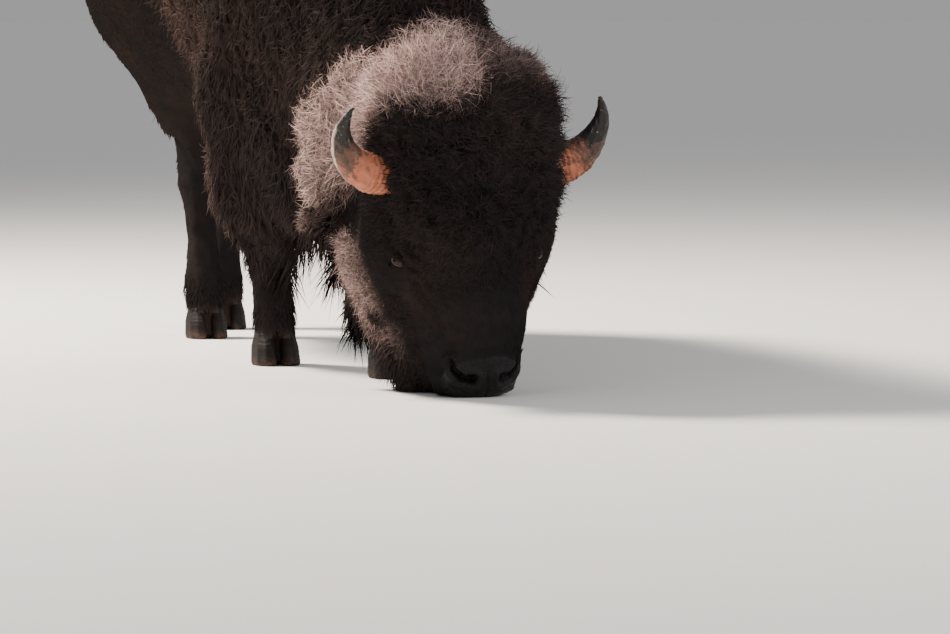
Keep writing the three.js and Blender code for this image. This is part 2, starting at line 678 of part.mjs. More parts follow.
/** Cuts the pocket in which one piece sits out of another. */
function seat(host, guest) {
  if (flesh[host].intersect(guest).volume() === 0) return;
  flesh[host] = largest(flesh[host].subtract(inflated(guest, SEAT)));
}
seat("rump", flesh.tail);
for (const host of ["head", "bonnet", "neck", "shoulders"]) {
  for (const name of ["ear_left", "ear_right"]) seat(host, flesh[name]);
  for (const name of ["horn_left", "horn_right", "eye_left", "eye_right"]) seat(host, horns[name]);
}
for (const [name, piece] of Object.entries(horns))
  if (name.includes("dewclaw")) seat(name.replace(/_dewclaw.*/, "_lower"), piece);

// ---------------------------------------------------------------- the whole animal
const bison = new THREE.Group();
const COLOURS = { coat: 0x4a3626, horn: 0x5b5148, hoof: 0x2b2622, dewclaw: 0x2b2622, eye: 0x140d08 };
const pieces = Object.entries({ ...flesh, ...horns });
const ends = pieces.map(([, piece]) => piece.boundingBox());
const middle = [0, 1].map((c) => {
  const low = Math.min(...ends.map(({ min }) => min[c]));
  return (low + Math.max(...ends.map(({ max }) => max[c]))) / 2;
});
for (const [name, piece] of pieces) {
  const kind = Object.keys(COLOURS).find((word) => name.includes(word)) ?? "coat";
  const geometry = geometryOf(piece).translate(-middle[0], -middle[1], 0);
  const mesh = new THREE.Mesh(geometry, new THREE.MeshStandardMaterial({ color: COLOURS[kind] }));
  mesh.name = name;
  bison.add(mesh);
}
export default bison;
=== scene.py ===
"""Looks of a life-size bison bull that stands and drinks, its muzzle on the ground.

One skin replaces the solids of flesh. Tufts of hair lie over it, and the eyes, horns and hooves are
pieces of their own. Lengths are in metres; forward is -Y, the animal's left is +X and up is +Z.
"""

import logging
import math
from dataclasses import astuple, dataclass, field, fields
from enum import Enum

import bmesh
import bpy
import numpy as np
from mathutils import Matrix, Vector
from mathutils.bvhtree import BVHTree
from mathutils.kdtree import KDTree


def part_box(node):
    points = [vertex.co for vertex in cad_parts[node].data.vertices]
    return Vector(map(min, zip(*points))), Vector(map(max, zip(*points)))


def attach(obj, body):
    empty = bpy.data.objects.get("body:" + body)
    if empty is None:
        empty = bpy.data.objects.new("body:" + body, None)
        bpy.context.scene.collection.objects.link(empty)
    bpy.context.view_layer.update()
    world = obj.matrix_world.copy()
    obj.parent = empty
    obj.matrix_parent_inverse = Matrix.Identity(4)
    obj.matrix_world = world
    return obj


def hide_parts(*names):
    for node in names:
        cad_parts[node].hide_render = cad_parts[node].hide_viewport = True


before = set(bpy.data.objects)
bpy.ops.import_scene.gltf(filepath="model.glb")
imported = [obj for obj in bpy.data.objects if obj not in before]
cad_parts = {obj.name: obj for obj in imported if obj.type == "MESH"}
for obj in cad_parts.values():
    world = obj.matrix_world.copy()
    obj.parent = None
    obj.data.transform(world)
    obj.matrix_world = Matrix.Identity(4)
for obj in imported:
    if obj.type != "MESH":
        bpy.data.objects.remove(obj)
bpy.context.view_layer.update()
LOG = logging.getLogger("bison")
Array = np.ndarray
Place = tuple[float, float, float]
Span = tuple[float, float]
Ball = tuple[Vector, float]
Colour = tuple[float, float, float, float]
Pair = tuple[Colour, Colour]
Tint = tuple[float, float, float]
Mesh = bpy.types.Mesh
Piece = bpy.types.Object
Material = bpy.types.Material
Node = bpy.types.Node
NodeTree = bpy.types.NodeTree
Socket = bpy.types.NodeSocket
BODY = "root"
TUFT_PATCH = 0.003
FLOOR_GAP = 0.0012


# ---------------------------------------------------------------- arithmetic


def unit(vectors: Array) -> Array:
    """Scales each row to length one.

    Args:
        vectors: Rows of three.

    Returns:
        Rows of length one.
    """
    return vectors / np.maximum(np.linalg.norm(vectors, axis=-1, keepdims=True), 1e-9)


def ease(low: float, high: float, value: Array) -> Array:
    """A smooth step from 0 at low to 1 at high.

    Args:
        low: Where the step starts.
        high: Where it ends; it may be under low, for a falling step.
        value: What is measured.

    Returns:
        Numbers from 0 to 1.
    """
    t = np.clip((value - low) / (high - low), 0.0, 1.0)
    return t * t * (3.0 - 2.0 * t)


def ridge(values: Array, middle: float, width: float) -> Array:
    """A soft bump, 1 where the values are at its middle and nothing two widths away."""
    return np.exp(-(((values - middle) / width) ** 2))


def swell(points: Array, at: Place, reach: Place) -> Array:
    """A soft round weight, 1 at a place and nothing two reaches away.

    Args:
        points: Rows of three.
        at: The place.
        reach: How far the weight goes along each axis.

    Returns:
        One weight for each point.
    """
    return np.exp(-(((points - np.array(at)) / np.array(reach)) ** 2).sum(1))


def off_line(points: Array, path: Array) -> tuple[Array, Array]:
    """Measures how far points are from a line of straight runs, and how far along it.

    Args:
        points: Rows of three.
        path: The line's corners.

    Returns:
        The distance, and the share of the line from 0 to 1, for each point.
    """
    runs = np.diff(path, axis=0)
    lengths = np.linalg.norm(runs, axis=1)
    starts = np.concatenate([[0.0], np.cumsum(lengths)[:-1]])
    best = np.full(len(points), np.inf)
    along = np.zeros(len(points))
    for corner, run, length, start in zip(path[:-1], runs, lengths, starts):
        share = np.clip((points - corner) @ run / length**2, 0.0, 1.0)
        gap = np.linalg.norm(points - corner - share[:, None] * run, axis=1)
        nearer = gap < best
        best[nearer] = gap[nearer]
        along[nearer] = (start + share * length)[nearer] / lengths.sum()
    return best, along


class Waves:
    """Smooth noise made of sine waves that run in many directions."""

    def __init__(self, seed: int, size: float, count: int = 16) -> None:
        """Draws the waves.

        Args:
            seed: Makes the same waves each time.
            size: The usual wave's length.
            count: How many waves there are.
        """
        rng = np.random.default_rng(seed)
        ways = unit(rng.normal(size=(count, 3)))
        self.runs = ways * rng.uniform(0.6, 1.7, (count, 1)) * 2 * math.pi / size
        self.phases = rng.uniform(0, 2 * math.pi, count)
        self.aims = unit(rng.normal(size=(count, 3))) * math.sqrt(2 / count)

    def level(self, points: Array) -> Array:
        """One number for each point, mostly between -1.5 and 1.5."""
        return np.sin(points @ self.runs.T + self.phases).sum(1) * math.sqrt(2 / len(self.phases))

    def drift(self, points: Array) -> Array:
        """One vector for each point."""
        return np.sin(points @ self.runs.T + self.phases) @ self.aims * 1.7


# ---------------------------------------------------------------- meshes as arrays


def pulled(items: bpy.types.bpy_prop_collection, name: str, width: int, kind: type = np.float32) -> Array:
    """Reads one property of all a mesh's items.

    Args:
        items: The mesh's vertices, edges or the like.
        name: The property.
        width: How many numbers it has.
        kind: The numbers' type.

    Returns:
        One row for each item.
    """
    out = np.empty(len(items) * width, kind)
    items.foreach_get(name, out)
    return out.reshape(-1, width)


def get_points(mesh: Mesh) -> Array:
    """The mesh's vertices, one row each."""
    return pulled(mesh.vertices, "co", 3).astype(float)


def set_points(mesh: Mesh, points: Array) -> None:
    """Moves the mesh's vertices to the rows of an array."""
    mesh.vertices.foreach_set("co", np.ascontiguousarray(points, np.float32).ravel())
    mesh.update()


def get_normals(mesh: Mesh) -> Array:
    """The normal at each vertex."""
    return pulled(mesh.vertex_normals, "vector", 3).astype(float)


def get_edges(mesh: Mesh) -> Array:
    """The two vertices of each edge."""
    return pulled(mesh.edges, "vertices", 2, np.int32)


def neighbour_mean(values: Array, edges: Array, ties: Array) -> Array:
    """Averages each row's neighbours.

    Args:
        values: One row for each vertex.
        edges: The two vertices of each edge.
        ties: How many edges meet at each vertex.

    Returns:
        The averages.
    """
    out = np.empty_like(values)
    ends = np.concatenate([edges[:, 0], edges[:, 1]])
    others = np.concatenate([edges[:, 1], edges[:, 0]])
    for column in range(values.shape[1]):
        out[:, column] = np.bincount(ends, values[others, column], len(values))
    return out / ties[:, None]


def smoothed(values: Array, edges: Array, rounds: int, share: float | Array = 0.5) -> Array:
    """Evens out rows of values over a mesh.

    Args:
        values: One row for each vertex.
        edges: The two vertices of each edge.
        rounds: How many times.
        share: How far each value goes to its neighbours' average, one number or one row each.

    Returns:
        The smoother rows.
    """
    ties = np.maximum(np.bincount(edges.ravel(), minlength=len(values)), 1)
    for _ in range(rounds):
        values = values + share * (neighbour_mean(values, edges, ties) - values)
    return values


def relaxed(points: Array, edges: Array, rounds: int) -> Array:
    """Smooths a surface without shrinking it.

    Args:
        points: The vertices.
        edges: The two vertices of each edge.
        rounds: How many pairs of steps.

    Returns:
        The smoother vertices.
    """
    for _ in range(rounds):
        points = smoothed(points, edges, 1, 0.5)
        points = smoothed(points, edges, 1, -0.52)
    return points


def new_object(name: str, data: bpy.types.ID) -> Piece:
    """Puts a mesh, a light or a camera in the scene.

    Args:
        name: The new object's name.
        data: The mesh, light or camera.

    Returns:
        The new object.
    """
    obj = bpy.data.objects.new(name, data)
    bpy.context.collection.objects.link(obj)
    return obj


def from_shape(name: str, shape: bmesh.types.BMesh) -> Piece:
    """Puts a loose shape in the scene.

    Args:
        name: The new object's name.
        shape: The shape, which is freed.

    Returns:
        The new object.
    """
    mesh = bpy.data.meshes.new(name)
    shape.to_mesh(mesh)
    shape.free()
    return new_object(name, mesh)


def rounded(name: str, node: str, voxel: float, rounds: int) -> tuple[Piece, Array, Array]:
    """Copies one CAD node and takes the edge off its corners.

    Args:
        name: The new object's name.
        node: The node.
        voxel: The surface's cell.
        rounds: How many rounds of smoothing there are.

    Returns:
        The new object, its vertices and the normals there.
    """
    obj = from_nodes(name, [node], voxel, [])
    points = relaxed(get_points(obj.data), get_edges(obj.data), rounds)
    set_points(obj.data, points)
    return obj, points, get_normals(obj.data)


def applied(obj: Piece) -> None:
    """Applies an object's modifiers.

    Args:
        obj: The object.
    """
    shown = obj.evaluated_get(bpy.context.evaluated_depsgraph_get())
    mesh = bpy.data.meshes.new_from_object(shown)
    obj.modifiers.clear()
    old, obj.data = obj.data, mesh
    bpy.data.meshes.remove(old)


def from_nodes(name: str, nodes: list[str], voxel: float, plugs: list[Ball]) -> Piece:
    """Melts copies of CAD nodes into one even surface.

    Args:
        name: The new object's name.
        nodes: The nodes that are copied.
        voxel: The surface's cell.
        plugs: Balls that are melted in, each a place and a radius.

    Returns:
        The new object.
    """
    shape = bmesh.new()
    for node in nodes:
        shape.from_mesh(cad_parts[node].data)
    bmesh.ops.remove_doubles(shape, verts=shape.verts, dist=1e-5)
    for place, radius in plugs:
        bmesh.ops.create_icosphere(shape, subdivisions=3, radius=radius, matrix=Matrix.Translation(place))
    obj = from_shape(name, shape)
    melt = obj.modifiers.new("melt", "REMESH")
    melt.mode = "VOXEL"
    melt.voxel_size = voxel
    applied(obj)
    return obj


def shade_smooth(mesh: Mesh) -> None:
    """Shades every face smooth."""
    mesh.polygons.foreach_set("use_smooth", np.ones(len(mesh.polygons), bool))
    mesh.update()


def set_colours(mesh: Mesh, name: str, values: Array) -> None:
    """Keeps up to four numbers at each vertex, as a colour that a material can read.

    Args:
        mesh: The mesh.
        name: The attribute's name.
        values: One row for each vertex, of up to four numbers.
    """
    rows = np.ones((len(values), 4), np.float32)
    rows[:, : values.shape[1]] = values
    layer = mesh.attributes.new(name, "FLOAT_COLOR", "POINT")
    layer.data.foreach_set("color", rows.ravel())


# ---------------------------------------------------------------- the head's own axes


@dataclass(frozen=True)
class HeadAxes:
    """The head's axes: across to the animal's left, down to its nose, and out of its forehead."""

    at: Place = (0.104, -1.2021, 0.490)
    pitch: float = math.radians(3)
    turn: float = math.radians(5.5)
    roll: float = math.radians(2)

    def rows(self) -> Array:
        """The three axes, one row each.

        Returns:
            Three directions in the scene.
        """
        up = Vector((0, 0, 1))
        ahead = Vector((math.sin(self.turn), -math.cos(self.turn), 0))
        out = ahead * math.cos(self.pitch) + up * math.sin(self.pitch)
        roll = Matrix.Rotation(self.roll, 3, out)
        across = roll @ -ahead.cross(up)
        down = roll @ (ahead * math.sin(self.pitch) - up * math.cos(self.pitch))
        return np.array([across, down, out])

    def inside(self, points: Array) -> Array:
        """Turns places in the scene into places on the head's axes."""
        return (points - np.array(self.at)) @ self.rows().T

    def outside(self, places: Array) -> Array:
        """Turns places on the head's axes into places in the scene."""
        return np.array(self.at) + places @ self.rows()

    def aimed(self, directions: Array) -> Array:
        """Turns directions on the head's axes into directions in the scene."""
        return directions @ self.rows()


HEAD = HeadAxes()


@dataclass(frozen=True)
class EyeSeat:
    """Where one eye sits on the head's axes, and how its lids open."""

    side: int
    radius: float = 0.021
    slant: float = math.radians(36)
    half_long: float = 0.0215
    half_high: float = 0.0068
    lid: float = 0.0026
    facing: Place = (0.77, 0.06, 0.63)

    def centre(self) -> Array:
        """The eyeball's centre."""
        low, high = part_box("eye_right" if self.side < 0 else "eye_left")
        return HEAD.inside((np.array(low) + np.array(high))[None] / 2)[0]

    def rows(self) -> Array:
        """The lids' axes: to the outer corner, up, and out of the eye.

        Returns:
            Three directions on the head's axes, one row each.
        """
        facing = unit(np.array(self.facing) * np.array([self.side, 1, 1]))
        down = np.array([0.0, 1.0, 0.0])
        level = unit(np.cross(down, facing) * self.side)
        long = level * math.cos(self.slant) - down * math.sin(self.slant)
        high = unit(np.cross(facing, long))
        if high[1] > 0:
            high = -high
        return np.array([long, high, facing])

    def place(self) -> Vector:
        """The eyeball's centre in the scene."""
        return Vector(HEAD.outside(self.centre()[None])[0])


SIDES = {"right": -1, "left": 1}
EYES = {word: EyeSeat(side) for word, side in SIDES.items()}


# ---------------------------------------------------------------- the coat's kinds


@dataclass(frozen=True)
class Coat:
    """One kind of coat: how deep and long it is, how it lies, and its colour."""

    depth: float
    length: float
    width: float
    lift: float
    curl: float
    clump: float
    droop: float
    density: float
    tone: float
    rust: float
    # How pale the hair's tips are: faded by the sun, and painted rim light where the markings add it.
    bleach_and_rim_light: float


class Region(Enum):
    """The coat's kinds over the animal."""

    FACE = Coat(0.004, 0.013, 0.0024, 0.26, 0.05, 0.2, 0.0, 1.0, 0.02, 0.10, 0.0)
    BONNET = Coat(0.040, 0.044, 0.0025, 0.95, 0.42, 0.4, 0.0, 1.0, 0.02, 0.12, 0.02)
    CHEEK = Coat(0.012, 0.022, 0.0028, 0.45, 0.16, 0.4, 0.1, 1.0, 0.05, 0.25, 0.0)
    BEARD = Coat(0.015, 0.074, 0.0036, 0.22, 0.10, 0.6, 0.6, 1.0, 0.02, 0.20, 0.0)
    NECK = Coat(0.030, 0.044, 0.0036, 0.50, 0.34, 0.4, 0.3, 1.0, 0.05, 0.45, 0.02)
    # The shoulders, barrel and rump are near black: partly the coat's own dark brown, partly painted shade
    # on the flank.
    SHOULDER = Coat(0.027, 0.040, 0.0036, 0.34, 0.32, 0.4, 0.3, 1.0, 0.05, 0.55, 0.02)
    CHAPS = Coat(0.022, 0.056, 0.0032, 0.32, 0.26, 0.5, 0.35, 1.0, 0.03, 0.35, 0.02)
    BARREL = Coat(0.011, 0.038, 0.0058, 0.13, 0.07, 0.3, 0.1, 1.0, 0.0, 0.80, 0.0)
    RUMP = Coat(0.008, 0.034, 0.0056, 0.11, 0.05, 0.25, 0.0, 1.0, 0.01, 0.80, 0.0)
    SHANK = Coat(0.0025, 0.018, 0.0038, 0.14, 0.04, 0.2, 0.0, 1.0, 0.02, 0.35, 0.0)
    TAIL = Coat(0.004, 0.022, 0.0040, 0.20, 0.04, 0.2, 0.0, 1.0, 0.05, 0.40, 0.0)
    TAIL_TUFT = Coat(0.018, 0.110, 0.0040, 0.25, 0.10, 0.6, 0.5, 1.0, 0.02, 0.30, 0.03)
    EAR = Coat(0.0015, 0.026, 0.0020, 0.45, 0.16, 0.2, 0.0, 1.0, 0.02, 0.30, 0.05)
    HORNY = Coat(0.004, 0.010, 0.0030, 0.30, 0.05, 0.0, 0.0, 0.0, 0.10, 0.30, 0.10)


REGIONS = list(Region)
TRAITS = [each.name for each in fields(Coat)]
# The third mark holds sun-faded tips and also painted rim light on the fringe and the mane's edges.
MARKS = ("tone", "rust", "bleach_and_rim_light")
TABLE = np.array([astuple(region.value) for region in REGIONS])
REGION_OF = {
    "head": Region.FACE,
    "muzzle": Region.FACE,
    "bonnet": Region.BONNET,
    "lower_jaw": Region.CHEEK,
    "beard": Region.BEARD,
    "neck": Region.NECK,
    "shoulders": Region.SHOULDER,
    "foreleg_upper": Region.CHAPS,
    "barrel": Region.BARREL,
    "rump": Region.RUMP,
    "hindleg_upper": Region.RUMP,
    "lower": Region.SHANK,
    "tail": Region.TAIL,
    "tail_tuft": Region.TAIL_TUFT,
    "ear": Region.EAR,
    "horn": Region.HORNY,
    "hoof": Region.HORNY,
    "dewclaw": Region.SHANK,
}


def region_of(node: str) -> Region:
    """Finds the kind of coat over one CAD node.

    Args:
        node: The node's name.

    Returns:
        Its kind of coat.
    """
    words = node.split("_")
    plain = "_".join(word for word in words if word not in SIDES)
    if plain in REGION_OF:
        return REGION_OF[plain]
    return next(REGION_OF[word] for word in ("dewclaw", "hoof", "lower", "horn", "ear") if word in words)


def flesh() -> list[str]:
    """The CAD nodes that the skin stands for."""
    hard = ("horn", "eye", "hoof", "dewclaw")
    return sorted(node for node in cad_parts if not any(word in node for word in hard))


@dataclass(frozen=True)
class Comb:
    """A place on the animal and the way in which its hair is combed there."""

    at: Place
    reach: float
    towards: Place = (0.0, 0.0, 0.0)
    spread: bool = False
    on_head: bool = False

    def mirrored(self) -> "Comb":
        """The same comb on the other side.

        Returns:
            The other comb.
        """
        x, y, z = self.at
        a, b, c = self.towards
        return Comb((-x, y, z), self.reach, (-a, b, c), self.spread, self.on_head)

    def pull(self, points: Array) -> Array:
        """The comb's share of the hair's direction at each point.

        Args:
            points: Places in the scene.

        Returns:
            A vector for each, shorter further away.
        """
        at = np.array(self.at)
        towards = np.array(self.towards)
        if self.on_head:
            at = HEAD.outside(at[None])[0]
            towards = HEAD.aimed(towards[None])[0]
        gap = points - at
        weight = np.exp(-((gap / self.reach) ** 2).sum(1))[:, None] + 1e-7
        return weight * (unit(gap) if self.spread else unit(towards))


def both(comb: Comb) -> list[Comb]:
    """A comb and its mirror image."""
    return [comb, comb.mirrored()]


COMBS = [
    Comb((0, -0.05, 1.65), 0.35, (0, 0.75, -0.25)),
    *both(Comb((0.42, -0.25, 1.15), 0.38, (0.05, 0.40, -0.9))),
    *both(Comb((0.30, -0.75, 0.85), 0.28, (0.10, 0.15, -1.0))),
    Comb((0.05, -0.85, 1.15), 0.30, (0, -0.1, -1.0)),
    Comb((0, -0.50, 0.50), 0.25, (0, 0.2, -1.0)),
    *both(Comb((0.38, 0.40, 1.05), 0.45, (0, 1, -0.35))),
    Comb((0, 0.60, 1.42), 0.40, (0, 1, -0.1)),
    Comb((0, 1.20, 1.25), 0.30, (0, 0.6, -0.8)),
    *both(Comb((0.32, 1.05, 0.80), 0.33, (0, 0.25, -1.0))),
    Comb((0, 0.40, 0.60), 0.35, (0, 1, -0.15)),
    *both(Comb((0.18, -0.40, 0.50), 0.28, (0, 0.12, -1.0))),
    *both(Comb((0.10, 1.00, 0.30), 0.30, (0, 0.05, -1.0))),
    *both(Comb((0.10, -0.40, 0.15), 0.20, (0, 0.05, -1.0))),
    Comb((0.02, 1.30, 1.00), 0.20, (0, 0.1, -1.0)),
    Comb((0, 0.33, 0.04), 0.11, (0, -1, 0.1), on_head=True),
    *both(Comb((0.09, 0.42, -0.05), 0.07, (0.2, -0.8, -0.4), on_head=True)),
    *both(Comb((0.15, 0.25, -0.12), 0.10, (0.05, -0.25, -1.0), on_head=True)),
    *both(Comb((0.07, 0.32, -0.20), 0.12, (0.05, 0.8, -0.5), on_head=True)),
    Comb((0, 0.10, 0.02), 0.17, spread=True, on_head=True),
    Comb((0, -0.10, -0.02), 0.22, spread=True, on_head=True),
    *both(Comb((0.235, 0.10, -0.20), 0.07, (0.126, 0.052, -0.124), on_head=True)),
]


def combed(points: Array, normals: Array) -> Array:
    """Finds the way the hair lies along the surface.

    Args:
        points: Places on the skin.
        normals: The skin's normals there.

    Returns:
        A direction of length one along the surface for each.
    """
    pull = unit(sum(comb.pull(points) for comb in COMBS))
    flat = pull - (pull * normals).sum(1, keepdims=True) * normals
    return unit(flat + 1e-6)


# Folds on the head's axes, from the eye outwards: each a line, its depth and its half-width.
FACE_FOLDS = [
    (((0.140, 0.195), (0.121, 0.206), (0.107, 0.226), (0.100, 0.248)), 0.0045, 0.0035),
    (((0.128, 0.228), (0.112, 0.270), (0.097, 0.315), (0.090, 0.368)), 0.0030, 0.0065),
    (((0.160, 0.163), (0.176, 0.142), (0.186, 0.095)), 0.0050, 0.0050),
    (((0.138, 0.165), (0.120, 0.172), (0.108, 0.192)), 0.0035, 0.0050),
]

# One side's nostril and mouth on the head's axes, from the middle outwards.
NOSTRIL = np.array([(0.034, 0.450), (0.056, 0.446), (0.072, 0.427), (0.077, 0.405)])
MOUTH = np.array([(0, 0.485, -0.052), (0.07, 0.462, -0.07), (0.098, 0.40, -0.10), (0.10, 0.345, -0.125)])


# ---------------------------------------------------------------- the skin


@dataclass(frozen=True)
class Markings:
    """The markings that don't follow the kinds of coat, as weights over the skin; some of them are painted
    light: rim light on the fringe and the mane's edges, and painted shade.

    A span says where a weight rises from 0 to 1: on the head's axes, or as a height or place in the
    scene for the body's.
    """

    places: Array
    spots: Array
    kinds: dict[Region, Array]
    wander: float = 0.014
    shaded_side: Span = (-0.03, 0.05)
    crown_edge: Span = (-0.115, -0.165)
    collar_middle: Place = (0, -0.05, -0.14)
    collar_edge: Span = (0.43, 0.27)
    nape_end: Span = (-0.355, -0.305)
    # How much of the pale nape is taken away on the left side: painted shade where the body's shadow falls.
    nape_left_painted_shade: float = 0.78
    # Painted shade: round each ear's hollow the pale frizz is taken away, leaving it dark.
    ear_shade: tuple[Place, Place] = ((0.225, 0.085, -0.160), (0.068, 0.076, 0.11))
    jaw_edge: Span = (0.212, 0.252)
    jaw_back: Span = (-0.09, -0.17)
    jaw_end: Span = (0.42, 0.26)
    jaw_strength: float = 0.75
    # How much of the pale jaw is taken away on the left side: painted shade.
    jaw_left_painted_shade: float = 0.5
    ear_tip: Span = (0.270, 0.310)
    fetlock: tuple[Span, Span] = ((0.19, 0.13), (0.07, 0.11))
    brown_cheek: tuple[Place, Place] = ((0.115, 0.25, -0.02), (0.05, 0.075, 0.06))
    seam_top: Span = (1.25, 0.95)
    elbow_back: Span = (-0.19, -0.07)
    elbow_low: Span = (0.24, 0.34)
    back_height: Span = (1.0, 1.5)
    skirt_height: Span = (0.42, 0.28)
    skirt_inside: Span = (0.10, 0.06)

    def both_sides(self, spot: tuple[Place, Place]) -> Array:
        """Round weights at a place on each side of the head, of one reach."""
        (x, y, z), reach = spot
        return sum(swell(self.places, (side * x, y, z), reach) for side in SIDES.values())

    def fringe(self) -> Array:
        """Pale frizz on the nape, along the jaw and on the ears' tips: partly hair faded by the sun, partly
        painted rim light where light from behind catches it. It is weaker on the left side, which is painted
        shade where the body's shadow falls on the head, and it is taken away round the ears' hollows as
        painted shade.

        Returns:
            A weight for each vertex.
        """
        across, down, out = self.places.T
        wander = Waves(8, 0.10).level(self.places) * self.wander
        # Painted shade: the head's left side, where the body's shadow falls, is kept darker.
        far = ease(*self.shaded_side, across)
        slanted = down + 0.55 * out + 0.045 * far + wander
        crown = self.kinds[Region.BONNET] * ease(*self.crown_edge, slanted)
        stretched = self.places * np.array([0.9, 0.75, 1.0])
        apart = np.linalg.norm(stretched - np.array(self.collar_middle), axis=1)
        collar = self.kinds[Region.NECK] * ease(*self.collar_edge, apart + wander)
        arched = down - 1.4 * across**2 + 0.1 * (out + 0.08) + wander
        nape = (crown + collar) * ease(*self.nape_end, arched)
        # Painted shade round the ears' hollows.
        shade = np.clip(1.6 * self.both_sides(self.ear_shade), 0, 1)
        nape = nape * (1 - shade) * (1 - self.nape_left_painted_shade * far)
        sloped = np.abs(across) + 0.4 * (down - 0.13) + wander
        jaw = (self.kinds[Region.CHEEK] + self.kinds[Region.FACE]) * ease(*self.jaw_edge, sloped)
        jaw = self.jaw_strength * jaw * ease(*self.jaw_back, out) * ease(*self.jaw_end, down)
        jaw = jaw * (1 - self.jaw_left_painted_shade * far)
        tips = 0.5 * self.kinds[Region.EAR] * ease(*self.ear_tip, np.abs(across))
        return np.clip(nape + jaw + tips, 0, 1)

    def fetlocks(self) -> Array:
        """Longer hair over the hooves.

        Returns:
            A weight for each vertex.
        """
        top, bottom = self.fetlock
        height = self.spots[:, 2]
        return self.kinds[Region.SHANK] * ease(*top, height) * ease(*bottom, height)

    def rim_lit_edges(self) -> Array:
        """Painted rim light: paler, warmer hair where the mane ends on the barrel and behind the elbows,
        where light from behind catches the edges.

        Returns:
            A weight for each vertex.
        """
        mane = self.kinds[Region.SHOULDER] + self.kinds[Region.CHAPS]
        seam = np.clip(5 * self.kinds[Region.BARREL] * mane, 0, 1) * ease(*self.seam_top, self.spots[:, 2])
        rear = self.kinds[Region.CHAPS] * ease(*self.elbow_back, self.spots[:, 1])
        return np.maximum(0.6 * seam, rear * ease(*self.elbow_low, self.spots[:, 2]))

    def back(self) -> Array:
        """Browner hair on the hump, back and rump.

        Returns:
            A weight for each vertex.
        """
        black = (Region.BONNET, Region.FACE, Region.CHEEK, Region.TAIL)
        others = sum(self.kinds[region] for region in black)
        return (1 - others) * ease(*self.back_height, self.spots[:, 2])

    def changes(self) -> list[tuple[Array, dict[str, float]]]:
        """Lists the markings.

        Returns:
            Each marking's weight, and what it adds to the coat's numbers where it is strongest.
        """
        skirt = self.kinds[Region.CHAPS] * ease(*self.skirt_height, self.spots[:, 2])
        inner = ease(*self.skirt_inside, np.abs(self.spots[:, 0]))
        # The fringe's paleness is partly hair faded by the sun and partly painted rim light.
        frizz = {"bleach_and_rim_light": 0.85, "tone": 0.25, "lift": 0.30, "curl": 0.34, "clump": -0.25}
        return [
            (self.fringe(), {**frizz, "width": -0.0010, "density": 0.9}),
            (self.fetlocks(), {"length": 0.016, "lift": 0.18}),
            (self.both_sides(self.brown_cheek), {"tone": 0.12, "rust": 0.35}),
            # Painted rim light on the mane's edge and behind the elbows.
            (self.rim_lit_edges(), {"bleach_and_rim_light": 0.10, "tone": 0.24}),
            (self.back(), {"tone": 0.16, "rust": 0.10}),
            (skirt * inner, {"length": 0.05, "curl": -0.15}),
            (skirt * (1 - inner), {"length": -0.022}),
        ]


@dataclass(frozen=True)
class Ripple:
    """A soft ridge, or a groove if its height is under 0, some way from a line."""

    height: float
    at: float
    width: float

    def over(self, gap: Array) -> Array:
        """The ripple's height at each distance from the line."""
        return self.height * ridge(gap, self.at, self.width)


@dataclass(frozen=True)
class Features:
    """Sizes of the nostrils, mouth, nose pad and lids."""

    nostril_width: Span = (0.0095, 0.0065)
    nostril_edge: Span = (1.25, 0.55)
    nostril_depth: float = 0.020
    nostril_rim: Ripple = Ripple(0.0055, 0.0075, 0.0055)
    mouth: Ripple = Ripple(-0.008, 0, 0.0045)
    lip: Ripple = Ripple(0.004, 0.011, 0.006)
    front: Span = (-0.085, -0.060)
    pad_middle: float = 0.446
    pad_size: Span = (0.086, 0.043)
    pad_roundness: float = 2.6
    pad_edge: Span = (1.22, 0.84)
    pad_rise: float = 0.0022
    pad_rim: Ripple = Ripple(0.003, 0.478, 0.008)
    cleft: Ripple = Ripple(-0.0035, 0, 0.0035)
    cleft_top: Span = (0.425, 0.445)
    lid_folds: tuple[Ripple, Ripple] = (Ripple(0.0012, 0.0025, 0.0018), Ripple(-0.0022, 0.0080, 0.0020))
    brow: Ripple = Ripple(1.0, 0.0135, 0.0042)
    brow_height: Span = (0.0020, 0.0045)
    lid_reach: Span = (0.020, 0.042)


